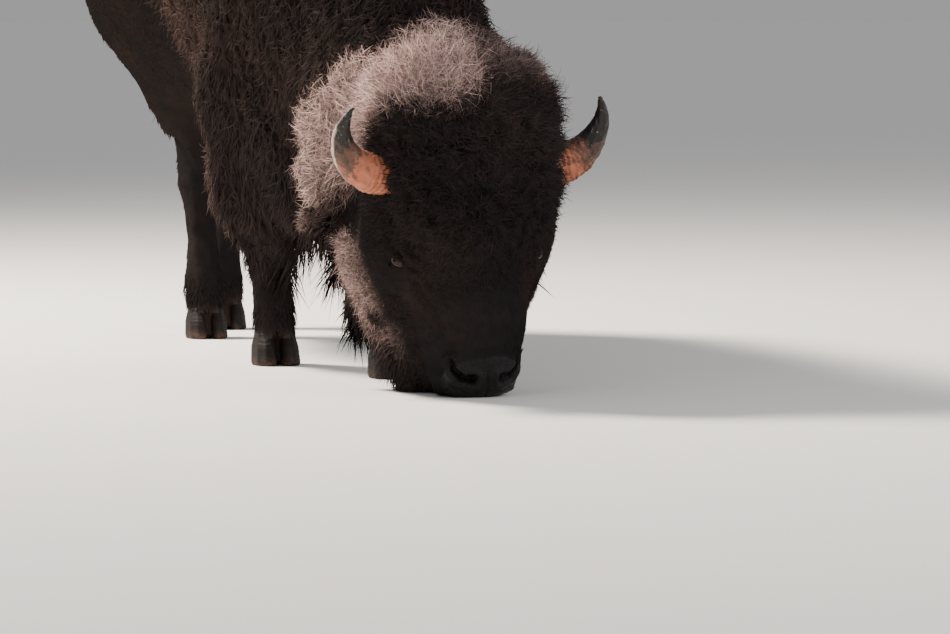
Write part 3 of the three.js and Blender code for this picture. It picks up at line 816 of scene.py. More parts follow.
@dataclass
class Skin:
    """The whole hide in one piece, from the bare nose to the tail."""

    voxel: float = 0.006
    keep: float = 0.22
    eye_plug: float = 0.027
    blend_rounds: int = 14
    body_rounds: int = 80
    body_share: float = 0.5
    leg_share: float = 0.14
    rump_height: Span = (0.62, 0.85)
    leg_rounds: int = 16
    draw_steps: int = 4
    jaw_start: Span = (-0.075, -0.125)
    chaps_end: Span = (0.17, 0.25)
    shank_start: Span = (0.68, 0.46)
    brow_end: Span = (0.34, 0.02)
    brow_back: Span = (-0.08, -0.03)
    brow_wool: float = 0.75
    ear_front: Span = (0.25, 0.7)
    ear_edge: Span = (0.3, 0.8)
    rough: Span = (0.005, 0.002)
    features: Features = Features()
    parts: dict[str, Array] = field(default_factory=dict)

    def build(self) -> Piece:
        """Melts the solids of flesh together, draws them in under the coat and models the head.

        Returns:
            The skin.
        """
        solid = [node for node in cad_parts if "eye" not in node and "dewclaw" not in node]
        plugs = [(eye.place(), self.eye_plug) for eye in EYES.values()]
        self.object = from_nodes("skin", solid, self.voxel, plugs + self.hocks())
        self.thin_out()
        self.refine(self.fine_areas())
        self.refine(self.finest_areas())
        self.mesh = self.object.data
        self.edges = get_edges(self.mesh)
        self.points = get_points(self.mesh)
        self.map_coat()
        self.draw_in()
        self.model_head()
        self.finish()
        return self.object

    def hocks(self) -> list[tuple[Vector, float]]:
        """Finds where the hind legs' two solids meet.

        Returns:
            Balls that round the hocks, each a place and a radius.
        """
        balls = []
        for word in SIDES:
            points = get_points(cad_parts[f"hindleg_{word}_lower"].data)
            rim = points[points[:, 2] > points[:, 2].max() - 0.002]
            low, high = rim.min(0), rim.max(0)
            balls.append((Vector((low + high) / 2), float((high - low)[:2].min() / 2)))
        return balls

    def fine_areas(self) -> list[tuple[Place, float]]:
        """Places on the head's axes that need small faces, each with its radius."""
        eyes = [(tuple(eye.centre()), 0.062) for eye in EYES.values()]
        return [*eyes, ((0, 0.43, -0.03), 0.13), ((0, 0.36, 0.02), 0.10)]

    def finest_areas(self) -> list[tuple[Place, float]]:
        """Places that need the smallest faces: the lids and nostrils."""
        eyes = [(tuple(eye.centre() + 0.02 * eye.rows()[2]), 0.034) for eye in EYES.values()]
        return [*eyes, *(((side * 0.06, 0.438, 0.0), 0.036) for side in SIDES.values())]

    def thin_out(self) -> None:
        """Makes the faces larger everywhere but on the head and ears."""
        across, down, out = HEAD.inside(get_points(self.object.data)).T
        across = np.abs(across)
        head = (down > 0.03) & (down < 0.52) & (out > -0.19) & (across < 0.3)
        ears = (np.abs(across - 0.24) < 0.08) & (np.abs(down - 0.1) < 0.07) & (np.abs(out + 0.2) < 0.09)
        group = self.object.vertex_groups.new(name="thin")
        group.add(np.nonzero(~(head | ears))[0].tolist(), 1.0, "REPLACE")
        group.add(np.nonzero(head | ears)[0].tolist(), 0.0, "REPLACE")
        thin = self.object.modifiers.new("thin", "DECIMATE")
        thin.ratio = self.keep
        thin.vertex_group = "thin"
        applied(self.object)
        self.object.vertex_groups.clear()

    def refine(self, areas: list[tuple[Place, float]]) -> None:
        """Halves the faces' size round some places on the head.

        Args:
            areas: Places on the head's axes, each with its radius.
        """
        shape = bmesh.new()
        shape.from_mesh(self.object.data)
        places = HEAD.inside(get_points(self.object.data))
        near = np.zeros(len(places), bool)
        for at, reach in areas:
            near |= np.linalg.norm(places - np.array(at), axis=1) < reach
        edges = [edge for edge in shape.edges if all(near[end.index] for end in edge.verts)]
        bmesh.ops.subdivide_edges(shape, edges=edges, cuts=1, use_grid_fill=True)
        bmesh.ops.triangulate(shape, faces=[face for face in shape.faces if len(face.verts) > 4])
        shape.to_mesh(self.object.data)
        shape.free()

    def map_coat(self) -> None:
        """Finds the kind of coat at each vertex from the CAD node under it, and marks it."""
        points = self.points
        names = sorted(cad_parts)
        node = self.nearest_node(names)
        kinds = np.array([0 if "eye" in name else REGIONS.index(region_of(name)) for name in names])
        weights = np.zeros((len(points), len(REGIONS)))
        weights[np.arange(len(points)), kinds[node]] = 1.0
        places = HEAD.inside(points)
        height = points[:, 2]
        fore = (points[:, 1] < 0) & (points[:, 0] > -0.3)
        self.shift(weights, Region.FACE, Region.CHEEK, ease(*self.jaw_start, places[:, 2]))
        self.shift(weights, Region.SHANK, Region.CHAPS, ease(*self.chaps_end, height) * fore)
        self.shift(weights, Region.RUMP, Region.SHANK, ease(*self.shank_start, height))
        weights = smoothed(weights, self.edges, self.blend_rounds)
        eyes = sum(swell(places, tuple(eye.centre()), (0.05, 0.05, 0.05)) for eye in EYES.values())
        wool = ease(*self.brow_end, places[:, 1]) * ease(*self.brow_back, places[:, 2])
        wool = wool * (1 - np.clip(eyes * 1.6, 0, 1)) * (weights[:, REGIONS.index(Region.FACE)] > 0.2)
        self.shift(weights, Region.FACE, Region.BONNET, wool * self.brow_wool)
        self.parts["node"] = node
        self.parts["traits"] = weights @ TABLE
        self.kinds = dict(zip(Region, weights.T))
        markings = Markings(places, points, self.kinds)
        self.parts["fringe"] = markings.fringe()
        for weight, changes in markings.changes():
            for name, amount in changes.items():
                self.trait(name)[:] += amount * weight

    def nearest_node(self, names: list[str]) -> Array:
        """Finds the CAD node under each vertex.

        Args:
            names: The nodes' names.

        Returns:
            The place in the list of each vertex's node.
        """
        shape = bmesh.new()
        owners: list[int] = []
        for number, name in enumerate(names):
            shape.from_mesh(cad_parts[name].data)
            owners += [number] * (len(shape.faces) - len(owners))
        tree = BVHTree.FromBMesh(shape)
        shape.free()
        return np.array(owners)[[tree.find_nearest(point)[2] for point in self.points]]

    def shift(self, weights: Array, old: Region, new: Region, share: Array) -> None:
        """Turns a share of one kind of coat into another.

        Args:
            weights: The kinds' weights, changed in place.
            old: The kind that gives.
            new: The kind that takes.
            share: How much, for each vertex.
        """
        a, b = REGIONS.index(old), REGIONS.index(new)
        moved = weights[:, a] * share
        weights[:, a] -= moved
        weights[:, b] += moved

    def trait(self, name: str) -> Array:
        """One of the coat's numbers at each vertex."""
        return self.parts["traits"][:, TRAITS.index(name)]

    def draw_in(self) -> None:
        """Evens the body out and moves its surface inwards by the coat's depth."""
        points = self.points
        depth = self.trait("depth")[:, None]
        self.find_ear_hollow()
        soft = np.clip(depth * 30, 0.08, 0.6)
        kinds = self.kinds
        rump = self.leg_share + (self.body_share - self.leg_share) * ease(*self.rump_height, points[:, 2])
        broad = self.body_share * (kinds[Region.BARREL] + kinds[Region.SHOULDER] + kinds[Region.NECK])
        broad += self.leg_share * kinds[Region.CHAPS] + rump * kinds[Region.RUMP]
        points = smoothed(points, self.edges, self.body_rounds, broad[:, None])
        legs = (kinds[Region.SHANK] + kinds[Region.RUMP])[:, None]
        points = points * (1 - legs) + relaxed(points, self.edges, self.leg_rounds) * legs
        points = smoothed(points, self.edges, 10, 0.12 * legs)
        points = smoothed(points, self.edges, 2, 0.4)
        for _ in range(self.draw_steps):
            set_points(self.mesh, points)
            normals = smoothed(get_normals(self.mesh), self.edges, 2)
            points = points - unit(normals) * depth / self.draw_steps
            points = smoothed(points, self.edges, 2, soft)
        self.points = points

    def find_ear_hollow(self) -> None:
        """Keeps how far each vertex lies in the hollow side of an ear."""
        set_points(self.mesh, self.points)
        facing = get_normals(self.mesh) @ HEAD.rows()[2]
        hollow = ease(*self.ear_front, facing)
        self.parts["inner_ear"] = hollow * ease(*self.ear_edge, self.kinds[Region.EAR])

    def model_head(self) -> None:
        """Models lids, nostrils, mouth and the face's folds."""
        points, size = self.points, self.features
        set_points(self.mesh, points)
        normals = get_normals(self.mesh)
        places = HEAD.inside(points)
        across, down, out = places.T
        rise = np.zeros(len(points))
        pit = np.zeros(len(points))
        front = ease(*size.front, out)
        for side in SIDES.values():
            gap, along = off_line(places[:, :2], NOSTRIL * np.array([side, 1]))
            wide = size.nostril_width[0] - size.nostril_width[1] * along
            hole = ease(*size.nostril_edge, gap / wide) * front
            rise += size.nostril_rim.over(gap - wide) * front - size.nostril_depth * hole * (1 - 0.6 * along)
            pit = np.maximum(pit, hole)
            for path, depth, wide in FACE_FOLDS:
                gap, along = off_line(places[:, :2], np.array(path) * np.array([side, 1]))
                fold = 0.8 * ridge(gap, 2.3 * wide, 1.4 * wide) - ridge(gap, 0, wide)
                rise += depth * fold * (1 - 0.6 * along) * front
            gap, along = off_line(places, MOUTH * np.array([side, 1, 1]))
            rise += size.mouth.over(gap) * ease(1.0, 0.8, along) + size.lip.over(gap) * ease(1.0, 0.7, along)
        edge = Waves(9, 0.03).level(points) * 0.05
        from_middle = np.abs(np.stack([across, down - size.pad_middle], 1)) / np.array(size.pad_size)
        oval = (from_middle**size.pad_roundness).sum(1)
        pad = ease(*size.pad_edge, oval + edge) * front
        rise += size.cleft.over(across) * ease(*size.cleft_top, down) * front
        rise += size.pad_rise * pad + size.pad_rim.over(down) * front
        self.points = points + normals * rise[:, None]
        self.parts["pit"] = pit
        self.parts["bare"] = np.clip(np.maximum(pad, pit), 0, 1)
        self.parts["rim"] = self.parts["lids"] = np.zeros(len(points))
        for eye in EYES.values():
            self.open_lids(eye)
        set_points(self.mesh, self.points)

    def open_lids(self, eye: EyeSeat) -> None:
        """Wraps the skin over an eyeball as two lids with an almond opening.

        Args:
            eye: The eye's seat.
        """
        places, size = HEAD.inside(self.points), self.features
        gap = places - eye.centre()
        long, high, deep = (gap @ eye.rows().T).T
        wide = np.hypot(long, high)
        near = (wide < 0.05) & (deep > -0.005) & (np.linalg.norm(gap, axis=1) < 0.075)
        arch = np.clip(1 - (long / eye.half_long) ** 2, 0, 1) ** 0.8
        over = np.abs(high) - eye.half_high * arch
        past = np.abs(long) - eye.half_long
        over = np.where(past > 0, np.hypot(high, past), over)
        inner, rim = eye.radius - 0.005, eye.radius + eye.lid
        radius = inner + (rim - inner) * ease(-0.0012, 0.0010, over)
        for fold in size.lid_folds:
            radius = radius + fold.over(over)
        least, more = size.brow_height
        radius = radius + (least + more * ease(-0.004, 0.004, high)) * size.brow.over(over)
        target = eye.centre() + unit(gap) * radius[:, None]
        share = ((1 - ease(*size.lid_reach, wide)) * near)[:, None]
        # Painted highlight: the lower lid's edge is marked to be painted pale, as light on the wet lid.
        seen = ridge(over, 0, 0.0016) * near * ease(0.004, -0.004, high)
        self.parts["rim"] = np.maximum(self.parts["rim"], seen)
        self.parts["lids"] = np.maximum(self.parts["lids"], ease(0.011, 0.006, over) * near)
        self.points = HEAD.outside(places * (1 - share) + target * share)

    def finish(self) -> None:
        """Roughens the skin under long hair and keeps its markings for the material."""
        points = get_points(self.mesh)
        wool = ease(0.012, 0.035, self.trait("depth"))
        broad, fine = self.rough
        rough = Waves(5, 0.045).level(points) * broad + Waves(6, 0.02).level(points) * fine
        points = points + get_normals(self.mesh) * (rough * wool)[:, None]
        points[:, 2] = np.maximum(points[:, 2], FLOOR_GAP)
        set_points(self.mesh, points)
        set_colours(self.mesh, "marks", np.stack([self.trait(name) for name in MARKS], 1))
        set_colours(self.mesh, "bare", np.stack([self.parts[name] for name in ("bare", "rim", "pit")], 1))
        shade_smooth(self.mesh)


# ---------------------------------------------------------------- the coat


@dataclass(frozen=True)
class Roots:
    """Places on the skin from which tufts grow, and what the coat is like there."""

    points: Array
    normals: Array
    traits: Array
    nodes: Array

    def trait(self, name: str) -> Array:
        """One of the coat's numbers at each root."""
        return self.traits[:, TRAITS.index(name)]


@dataclass
class Scalp:
    """The skin as triangles, from which roots are drawn evenly."""

    skin: Skin

    def __post_init__(self) -> None:
        """Reads the skin's triangles and their areas."""
        mesh = self.skin.object.data
        mesh.calc_loop_triangles()
        self.corners = pulled(mesh.loop_triangles, "vertices", 3, np.int32)
        self.points = get_points(mesh)
        self.normals = get_normals(mesh)
        a, b, c = (self.points[self.corners[:, i]] for i in range(3))
        self.areas = np.linalg.norm(np.cross(b - a, c - a), axis=1) / 2

    def roots(self, wanted: Array, count: int, rng: np.random.Generator) -> Roots:
        """Draws roots where they are wanted.

        Args:
            wanted: How dense they are to be at each vertex.
            count: How many roots.
            rng: The source of chance.

        Returns:
            The roots.
        """
        weight = self.areas * wanted[self.corners].mean(1)
        total = np.cumsum(weight)
        picks = (np.arange(count) + rng.random(count)) / count * total[-1]
        faces = np.minimum(np.searchsorted(total, picks), len(total) - 1)
        u, v = rng.random(count), rng.random(count)
        fold = u + v > 1
        u, v = np.where(fold, 1 - u, u), np.where(fold, 1 - v, v)
        shares = np.stack([1 - u - v, u, v], 1)
        corners = self.corners[faces]

        def mixed(values: Array) -> Array:
            """Mixes the corners' values at each root."""
            return (values[corners] * shares[:, :, None]).sum(1)

        nodes = self.skin.parts["node"][corners[:, 0]]
        return Roots(mixed(self.points), unit(mixed(self.normals)), mixed(self.skin.parts["traits"]), nodes)


@dataclass(frozen=True)
class Growth:
    """How far chance, curl and neighbours move the tufts, the same for every piece."""

    least: float = 0.12
    ear_thinning: float = 0.7
    curl_lean: float = 2.4
    curl_drift: float = 2.2
    drift_sizes: Span = (0.05, 0.018)
    fine_drift: float = 0.6
    scatter: Span = (0.12, 0.9)
    length_chance: float = 0.2
    length_limits: Span = (0.45, 1.5)
    lift_limits: Span = (0.55, 1.35)
    lift_fall: Span = (1.15, 0.75)
    width_limits: Span = (0.75, 1.25)
    sunk: Span = (0.002, 0.3)
    turn_limits: Span = (2.0, 4.2)
    droop: float = 0.6
    clump_limits: Span = (0.4, 1.2)
    clump_reach: Span = (1.4, 0.5)
    clump_tips: float = 0.85
    thickness: float = 0.7


GROWTH = Growth()


@dataclass
class Fur:
    """One piece of the coat: thousands of thin closed tufts over some kinds of coat."""

    name: str
    regions: tuple[Region, ...]
    triangles: int
    rings: int
    slot: str
    seed: int
    length: float = 1.0
    width: float = 1.0
    side: int = 0
    lock: int = 11
    stray: float = 0.0
    soft: float = 0.6
    turns: float = 1.0
    only: str = ""

    @property
    def corners(self) -> int:
        """How many vertices one tuft has."""
        return 3 * self.rings + 2

    def build(self, scalp: Scalp) -> Piece:
        """Grows the tufts.

        Args:
            scalp: Where they grow.

        Returns:
            The piece.
        """
        self.rng = np.random.default_rng(self.seed)
        skin, parts = scalp.skin, scalp.skin.parts
        wanted = sum(skin.kinds[region] for region in self.regions)
        wanted = np.where(wanted > GROWTH.least, wanted, 0) * skin.trait("density") * (1 - parts["bare"])
        wanted = wanted * (1 - parts["lids"]) * (1 - GROWTH.ear_thinning * parts["inner_ear"])
        if self.only:
            wanted = wanted * parts[self.only] ** 2
        if self.side:
            wanted = wanted * (HEAD.inside(scalp.points)[:, 0] * self.side > 0)
        self.roots = scalp.roots(wanted, self.triangles // (6 * self.rings), self.rng)
        mesh = self.mesh(*self.spines())
        self.dress(mesh)
        skinward = np.repeat(self.roots.normals, self.corners, axis=0)
        soft = get_normals(mesh) * (1 - self.soft) + skinward * self.soft
        mesh.normals_split_custom_set_from_vertices(unit(soft))
        return new_object(self.name, mesh)

    def spines(self) -> tuple[Array, Array, Array, Array]:
        """Lays out each tuft's middle line.

        Returns:
            The lines' points, the directions to the side and up at each, and the widths.
        """
        roots, rng = self.roots, self.rng
        count = len(roots.points)
        lie = combed(roots.points, roots.normals)
        curl = roots.trait("curl")[:, None]
        leader = self.leaders()
        away = unit(roots.points - roots.points[leader] + 1e-6)
        lie = lie + np.cross(roots.normals, away) * curl * GROWTH.curl_lean
        broad, fine = (
            Waves(self.seed + 50 + number, size).drift(roots.points)
            for number, size in enumerate(GROWTH.drift_sizes)
        )
        lie = lie + (broad + GROWTH.fine_drift * fine) * curl * GROWTH.curl_drift
        lie = lie + rng.normal(size=(count, 3)) * (GROWTH.scatter[0] + curl * GROWTH.scatter[1])
        lie = unit(lie - (lie * roots.normals).sum(1, keepdims=True) * roots.normals)
        side = np.cross(lie, roots.normals)
        chance = np.clip(rng.normal(1, GROWTH.length_chance, count), *GROWTH.length_limits)
        length = roots.trait("length") * self.length * chance
        lift = roots.trait("lift") * rng.uniform(*GROWTH.lift_limits, count) + self.stray * rng.random(count)
        steps = self.rings + 1
        spine = np.empty((count, steps + 1, 3))
        width = roots.trait("width") * self.width * rng.uniform(*GROWTH.width_limits, count)
        spine[:, 0] = roots.points - roots.normals * (GROWTH.sunk[0] + GROWTH.sunk[1] * width[:, None])
        phase = rng.uniform(0, 2 * math.pi, count)
        turn = rng.uniform(*GROWTH.turn_limits, count) * self.turns
        sway = curl[:, 0] * length
        for step in range(steps):
            share = (step + 0.5) / steps
            angle = lift * (GROWTH.lift_fall[0] - GROWTH.lift_fall[1] * share)
            run = lie * np.cos(angle)[:, None] + roots.normals * np.sin(angle)[:, None]
            spine[:, step + 1] = spine[:, step] + run * (length / steps)[:, None]
        for step in range(1, steps + 1):
            share = step / steps
            swing = phase + turn * share
            bend = side * np.sin(swing)[:, None] + roots.normals * (0.5 * np.cos(swing))[:, None]
            spine[:, step] += bend * (sway * share**0.7)[:, None]
            spine[:, step, 2] -= roots.trait("droop") * length * share**2 * GROWTH.droop
        spine = self.clumped(spine, leader)
        spine[:, 1:, 2] = np.maximum(spine[:, 1:, 2], 3 * FLOOR_GAP)
        profile = {1: [1.0], 2: [1.0, 0.8], 3: [0.85, 1.0, 0.7]}[self.rings]
        widths = width[:, None] * np.array(profile) / 2
        runs = unit(spine[:, 2:] - spine[:, :-2])
        sides = unit(np.cross(runs, roots.normals[:, None]) + 1e-6)
        ups = np.cross(sides, runs)
        return spine, sides, ups, widths

    def leaders(self) -> Array:
        """Chooses some tufts to lead a lock and finds each tuft's leader.

        Returns:
            The number of each tuft's leader.
        """
        points = self.roots.points
        count = len(points)
        chosen = self.rng.choice(count, max(count // self.lock, 1), replace=False)
        tree = KDTree(len(chosen))
        for number, leader in enumerate(chosen):
            tree.insert(points[leader], number)
        tree.balance()
        return chosen[[tree.find(point)[1] for point in points]]

    def clumped(self, spine: Array, leader: Array) -> Array:
        """Draws the tips of neighbouring tufts together into locks.

        Args:
            spine: The tufts' middle lines.
            leader: Each tuft's leader.

        Returns:
            The drawn lines.
        """
        roots = self.roots
        pull = roots.trait("clump") * self.rng.uniform(*GROWTH.clump_limits, len(spine))
        reach = np.linalg.norm(roots.points - roots.points[leader], axis=1)
        most, half = GROWTH.clump_reach
        pull = pull * np.clip(most - reach / (half * roots.trait("length")), 0, 1)
        share = np.linspace(0, 1, spine.shape[1])[None, :, None]
        blend = pull[:, None, None] * share**1.2 * GROWTH.clump_tips
        return spine * (1 - blend) + spine[leader] * blend

    def mesh(self, spine: Array, sides: Array, ups: Array, widths: Array) -> Mesh:
        """Makes closed three-sided tufts round the lines.

        Args:
            spine: The tufts' middle lines.
            sides: The directions to the side at each ring.
            ups: The directions up at each ring.
            widths: Half the width at each ring.

        Returns:
            The tufts' mesh.
        """
        count, per = len(spine), self.corners
        points = np.empty((count, per, 3))
        points[:, 0] = spine[:, 0]
        points[:, -1] = spine[:, -1]
        for ring in range(self.rings):
            middle, wide = spine[:, ring + 1], widths[:, ring, None]
            points[:, 3 * ring + 1] = middle + sides[:, ring] * wide
            points[:, 3 * ring + 2] = middle + ups[:, ring] * wide * GROWTH.thickness
            points[:, 3 * ring + 3] = middle - sides[:, ring] * wide
        points[:, :, 2] = np.maximum(points[:, :, 2], FLOOR_GAP)
        faces = []
        for corner in range(3):
            this, following = 1 + corner, 1 + (corner + 1) % 3
            faces.append((0, this, following))
            for ring in range(self.rings - 1):
                a, b = this + 3 * ring, following + 3 * ring
                faces += [(a, a + 3, b + 3), (a, b + 3, b)]
            last = 3 * (self.rings - 1)
            faces.append((this + last, per - 1, following + last))
        corners = (np.array(faces)[None] + per * np.arange(count)[:, None, None]).reshape(-1)
        mesh = bpy.data.meshes.new(self.name)
        mesh.vertices.add(count * per)
        mesh.vertices.foreach_set("co", points.astype(np.float32).ravel())
        mesh.loops.add(len(corners))
        mesh.loops.foreach_set("vertex_index", corners.astype(np.int32))
        mesh.polygons.add(len(corners) // 3)
        mesh.polygons.foreach_set("loop_start", np.arange(0, len(corners), 3, dtype=np.int32))
        mesh.update(calc_edges=True)
        shade_smooth(mesh)
        return mesh

    def dress(self, mesh: Mesh) -> None:
        """Keeps each tuft's markings and its patch on the bake map.

        Args:
            mesh: The tufts' mesh.
        """
        roots, rng = self.roots, self.rng
        count, per = len(roots.points), self.corners
        marks = np.stack([roots.trait(name) for name in MARKS], 1)
        along = np.concatenate([[0], np.repeat(np.arange(1, self.rings + 1) / (self.rings + 1), 3), [1]])
        across = np.concatenate([[0], np.tile([0.5, 0, -0.5], self.rings), [0]])
        set_colours(mesh, "marks", np.repeat(marks, per, axis=0))
        strand = np.empty((count, per, 3))
        strand[:, :, 0] = along
        strand[:, :, 1] = rng.random(count)[:, None]
        strand[:, :, 2] = rng.random(count)[:, None]
        set_colours(mesh, "strand", strand.reshape(-1, 3))
        patch = np.stack([across, along - 0.5], 1) * TUFT_PATCH
        flat = (self.unwrapped()[:, None] + patch[None]).reshape(-1, 2)
        corners = pulled(mesh.loops, "vertex_index", 1, np.int32)[:, 0]
        layer = mesh.uv_layers.new(name="OFBake")
        layer.data.foreach_set("uv", flat[corners].astype(np.float32).ravel())

    def unwrapped(self) -> Array:
        """Opens the skin out flat, a square for each of the solids under this piece.

        Returns:
            Each root's place on the map.
        """
        roots = self.roots
        names = sorted(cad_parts)
        used = np.unique(roots.nodes)
        squares = math.ceil(math.sqrt(len(used)))
        out = np.empty((len(roots.points), 2))
        for number, node in enumerate(used):
            mine = roots.nodes == node
            low, high = (np.array(corner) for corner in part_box(names[node]))
            ball = (roots.points[mine] - (low + high) / 2) / (high - low)
            ball /= np.maximum(np.abs(ball).sum(1, keepdims=True), 1e-9)
            flat = ball[:, :2]
            fold = (1 - np.abs(flat[:, ::-1])) * np.where(flat >= 0, 1, -1)
            flat = np.where(ball[:, 2:] < 0, fold, flat)
            corner = np.array([number % squares, number // squares])
            out[mine] = (corner + 0.5 + flat * 0.48) / squares
        return out


# ---------------------------------------------------------------- finishes


class Tree:
    """A short way to add nodes to a material or a group."""

    def __init__(self, tree: NodeTree) -> None:
        """Takes the tree that is filled."""
        self.tree = tree

    def feed(self, node: Node, inputs: dict) -> Node:
        """Sets or links a node's sockets.

        Args:
            node: The node.
            inputs: What its sockets are set to or linked from.

        Returns:
            The node.
        """
        for name, value in inputs.items():
            if isinstance(value, Socket):
                self.tree.links.new(value, node.inputs[name])
            else:
                node.inputs[name].default_value = value
        return node

    def node(self, kind: str, inputs: dict | None = None, **settings: object) -> Node:
        """Adds one node.

        Args:
            kind: The node's type.
            inputs: What its sockets are set to or linked from.
            settings: Its other settings.

        Returns:
            The node.
        """
        made = self.tree.nodes.new(kind)
        for name, value in settings.items():
            setattr(made, name, value)
        return self.feed(made, inputs or {})

    def maths(self, operation: str, a: object, b: object, clamp: bool = False) -> Socket:
        """Works out one sum with two numbers."""
        return self.node("ShaderNodeMath", {0: a, 1: b}, operation=operation, use_clamp=clamp).outputs[0]

    def plus(self, a: object, b: object, clamp: bool = False) -> Socket:
        """Adds two numbers."""
        return self.maths("ADD", a, b, clamp)

    def times(self, a: object, b: object, clamp: bool = False) -> Socket:
        """Multiplies two numbers."""
        return self.maths("MULTIPLY", a, b, clamp)

    def mix(self, share: object, a: object, b: object, blend: str = "MIX") -> Socket:
        """Mixes two colours and gives the result."""
        mixed = self.node("ShaderNodeMix", {0: share, 6: a, 7: b}, data_type="RGBA", blend_type=blend)
        return mixed.outputs[2]

    def spread(self, value: object, low: float, high: float, to: Span = (0, 1)) -> Socket:
        """Maps a range of numbers onto another, and keeps within it."""
        sockets = {"Value": value, "From Min": low, "From Max": high, "To Min": to[0], "To Max": to[1]}
        return self.node("ShaderNodeMapRange", sockets).outputs[0]

    def noise(self, at: object, scale: float, detail: float, rough: float = 0.55) -> Socket:
        """Adds noise and gives its level."""
        sockets = {"Vector": at, "Scale": scale, "Detail": detail, "Roughness": rough}
        return self.node("ShaderNodeTexNoise", sockets).outputs[0]

    def mottled(self, at: object, scale: float, detail: float, colours: Pair) -> Socket:
        """Mixes two colours by noise."""
        return self.mix(self.noise(at, scale, detail), *colours)

    def kept(self, name: str) -> Socket:
        """The numbers kept at each vertex under a name, as one colour."""
        return self.node("ShaderNodeAttribute", attribute_name=name).outputs["Color"]

    def parts(self, colour: object) -> list[Socket]:
        """A colour's three numbers."""
        return list(self.node("ShaderNodeSeparateColor", {0: colour}).outputs)

    def place(self) -> Socket:
        """The place on the piece."""
        return self.node("ShaderNodeTexCoord").outputs["Object"]

    def stretched(self, scale: Place, turn: Place = (0.0, 0.0, 0.0)) -> Socket:
        """The place on the piece, turned and stretched."""
        sockets = {"Vector": self.place(), "Rotation": turn, "Scale": scale}
        return self.node("ShaderNodeMapping", sockets).outputs[0]

    def group(self, group: NodeTree, inputs: dict) -> Socket:
        """Places a group and gives its colour."""
        return self.node("ShaderNodeGroup", inputs, node_tree=group).outputs["Color"]

    def bump(self, shader: Node, height: object, strength: float, distance: float) -> None:
        """Sends a height to a shader's normal.

        Args:
            shader: The shader.
            height: The height's socket.
            strength: The bump's strength.
            distance: How high a height of one is.
        """
        sockets = {"Height": height, "Strength": strength, "Distance": distance}
        self.feed(shader, {"Normal": self.node("ShaderNodeBump", sockets).outputs[0]})


def new_group(name: str, inputs: dict[str, str]) -> tuple[Tree, list[Socket], Node]:
    """Starts a node group that gives a colour.

    Args:
        name: The group's name.
        inputs: Its inputs, each with the last word of its socket's type.

    Returns:
        The tree, the sockets of its inputs, and its node of outputs.
    """
    group = bpy.data.node_groups.new(name, "ShaderNodeTree")
    for word, kind in inputs.items():
        group.interface.new_socket(word, in_out="INPUT", socket_type=f"NodeSocket{kind}")
    group.interface.new_socket("Color", in_out="OUTPUT", socket_type="NodeSocketColor")
    given = group.nodes.new("NodeGroupInput").outputs
    return Tree(group), [given[word] for word in inputs], group.nodes.new("NodeGroupOutput")


def rgb(red: float, green: float, blue: float) -> Colour:
    """A full colour."""
    return (red, green, blue, 1.0)


@dataclass
class Groups:
    """The node groups that several finishes share, and the colours in them."""

    black: Colour = rgb(0.0136, 0.0134, 0.0140)
    brown: Colour = rgb(0.046, 0.031, 0.025)
    tan: Colour = rgb(0.20, 0.118, 0.068)
    rust: Colour = rgb(1.0, 0.66, 0.5)
    # The pale tips' colour, for hair faded by the sun and for painted rim light.
    pale: Colour = rgb(0.93, 0.64, 0.57)
    dust_tint: Colour = rgb(0.36, 0.19, 0.125)

    def __post_init__(self) -> None:
        """Builds the groups."""
        self.hair = self.hair_colour()
        self.dust = self.dust_cover()

    def hair_colour(self) -> NodeTree:
        """The coat's colour from its markings, the same in the skin and the tufts; its pale tips carry
        painted rim light as well as fading by the sun, and it is painted darker towards the roots as shade.

        Returns:
            The group.
        """
        wanted = {"Marks": "Color", "Along": "Float", "Chance": "Float", "Vector": "Vector"}
        tree, (marks, along, chance, place), out = new_group("hair_colour", wanted)
        tone, rust, bleach_and_rim_light = tree.parts(marks)
        level = tree.plus(tone, tree.spread(tree.noise(place, 5.0, 3.0), 0.3, 0.7, (-0.04, 0.07)))
        level = tree.plus(level, tree.spread(tree.noise(place, 38.0, 2.0), 0.3, 0.7, (-0.03, 0.04)))
        level = tree.plus(level, tree.spread(chance, 0, 1, (-0.035, 0.045)), True)
        dark = tree.mix(tree.spread(level, 0.0, 0.42), self.black, self.brown)
        colour = tree.mix(tree.spread(level, 0.38, 0.95), dark, self.tan)
        warm = tree.mix(tree.times(rust, 0.5), colour, tree.mix(1.0, colour, self.rust, "MULTIPLY"))
        # Pale tips: hair faded by the sun, and painted rim light where the marks ask for it.
        tips = tree.times(tree.spread(along, 0.1, 0.7), bleach_and_rim_light)
        tips = tree.times(tips, tree.spread(chance, 0, 1, (0.2, 1.1)), True)
        pale = tree.mix(tips, warm, self.pale)
        # Painted shade: each tuft is darker towards its root, where the coat shades itself.
        root = tree.spread(along, 0.0, 0.6, (0.50, 1.0))
        shade = tree.node("ShaderNodeCombineColor", {0: root, 1: root, 2: root}).outputs[0]
        tree.feed(out, {"Color": tree.mix(1.0, pale, shade, "MULTIPLY")})
        return tree.tree

    def dust_cover(self) -> NodeTree:
        """A cover of pale dust in patches.

        Returns:
            The group.
        """
        wanted = {"Color": "Color", "Amount": "Float", "Vector": "Vector"}
        tree, (colour, amount, place), out = new_group("dust_cover", wanted)
        cloud = tree.noise(place, 14.0, 5.0, 0.65)
        grain = tree.times(tree.noise(place, 160.0, 2.0), 0.35)
        mask = tree.times(tree.spread(tree.plus(cloud, grain), 0.55, 0.95), amount, True)
        tree.feed(out, {"Color": tree.mix(mask, colour, self.dust_tint)})
        return tree.tree


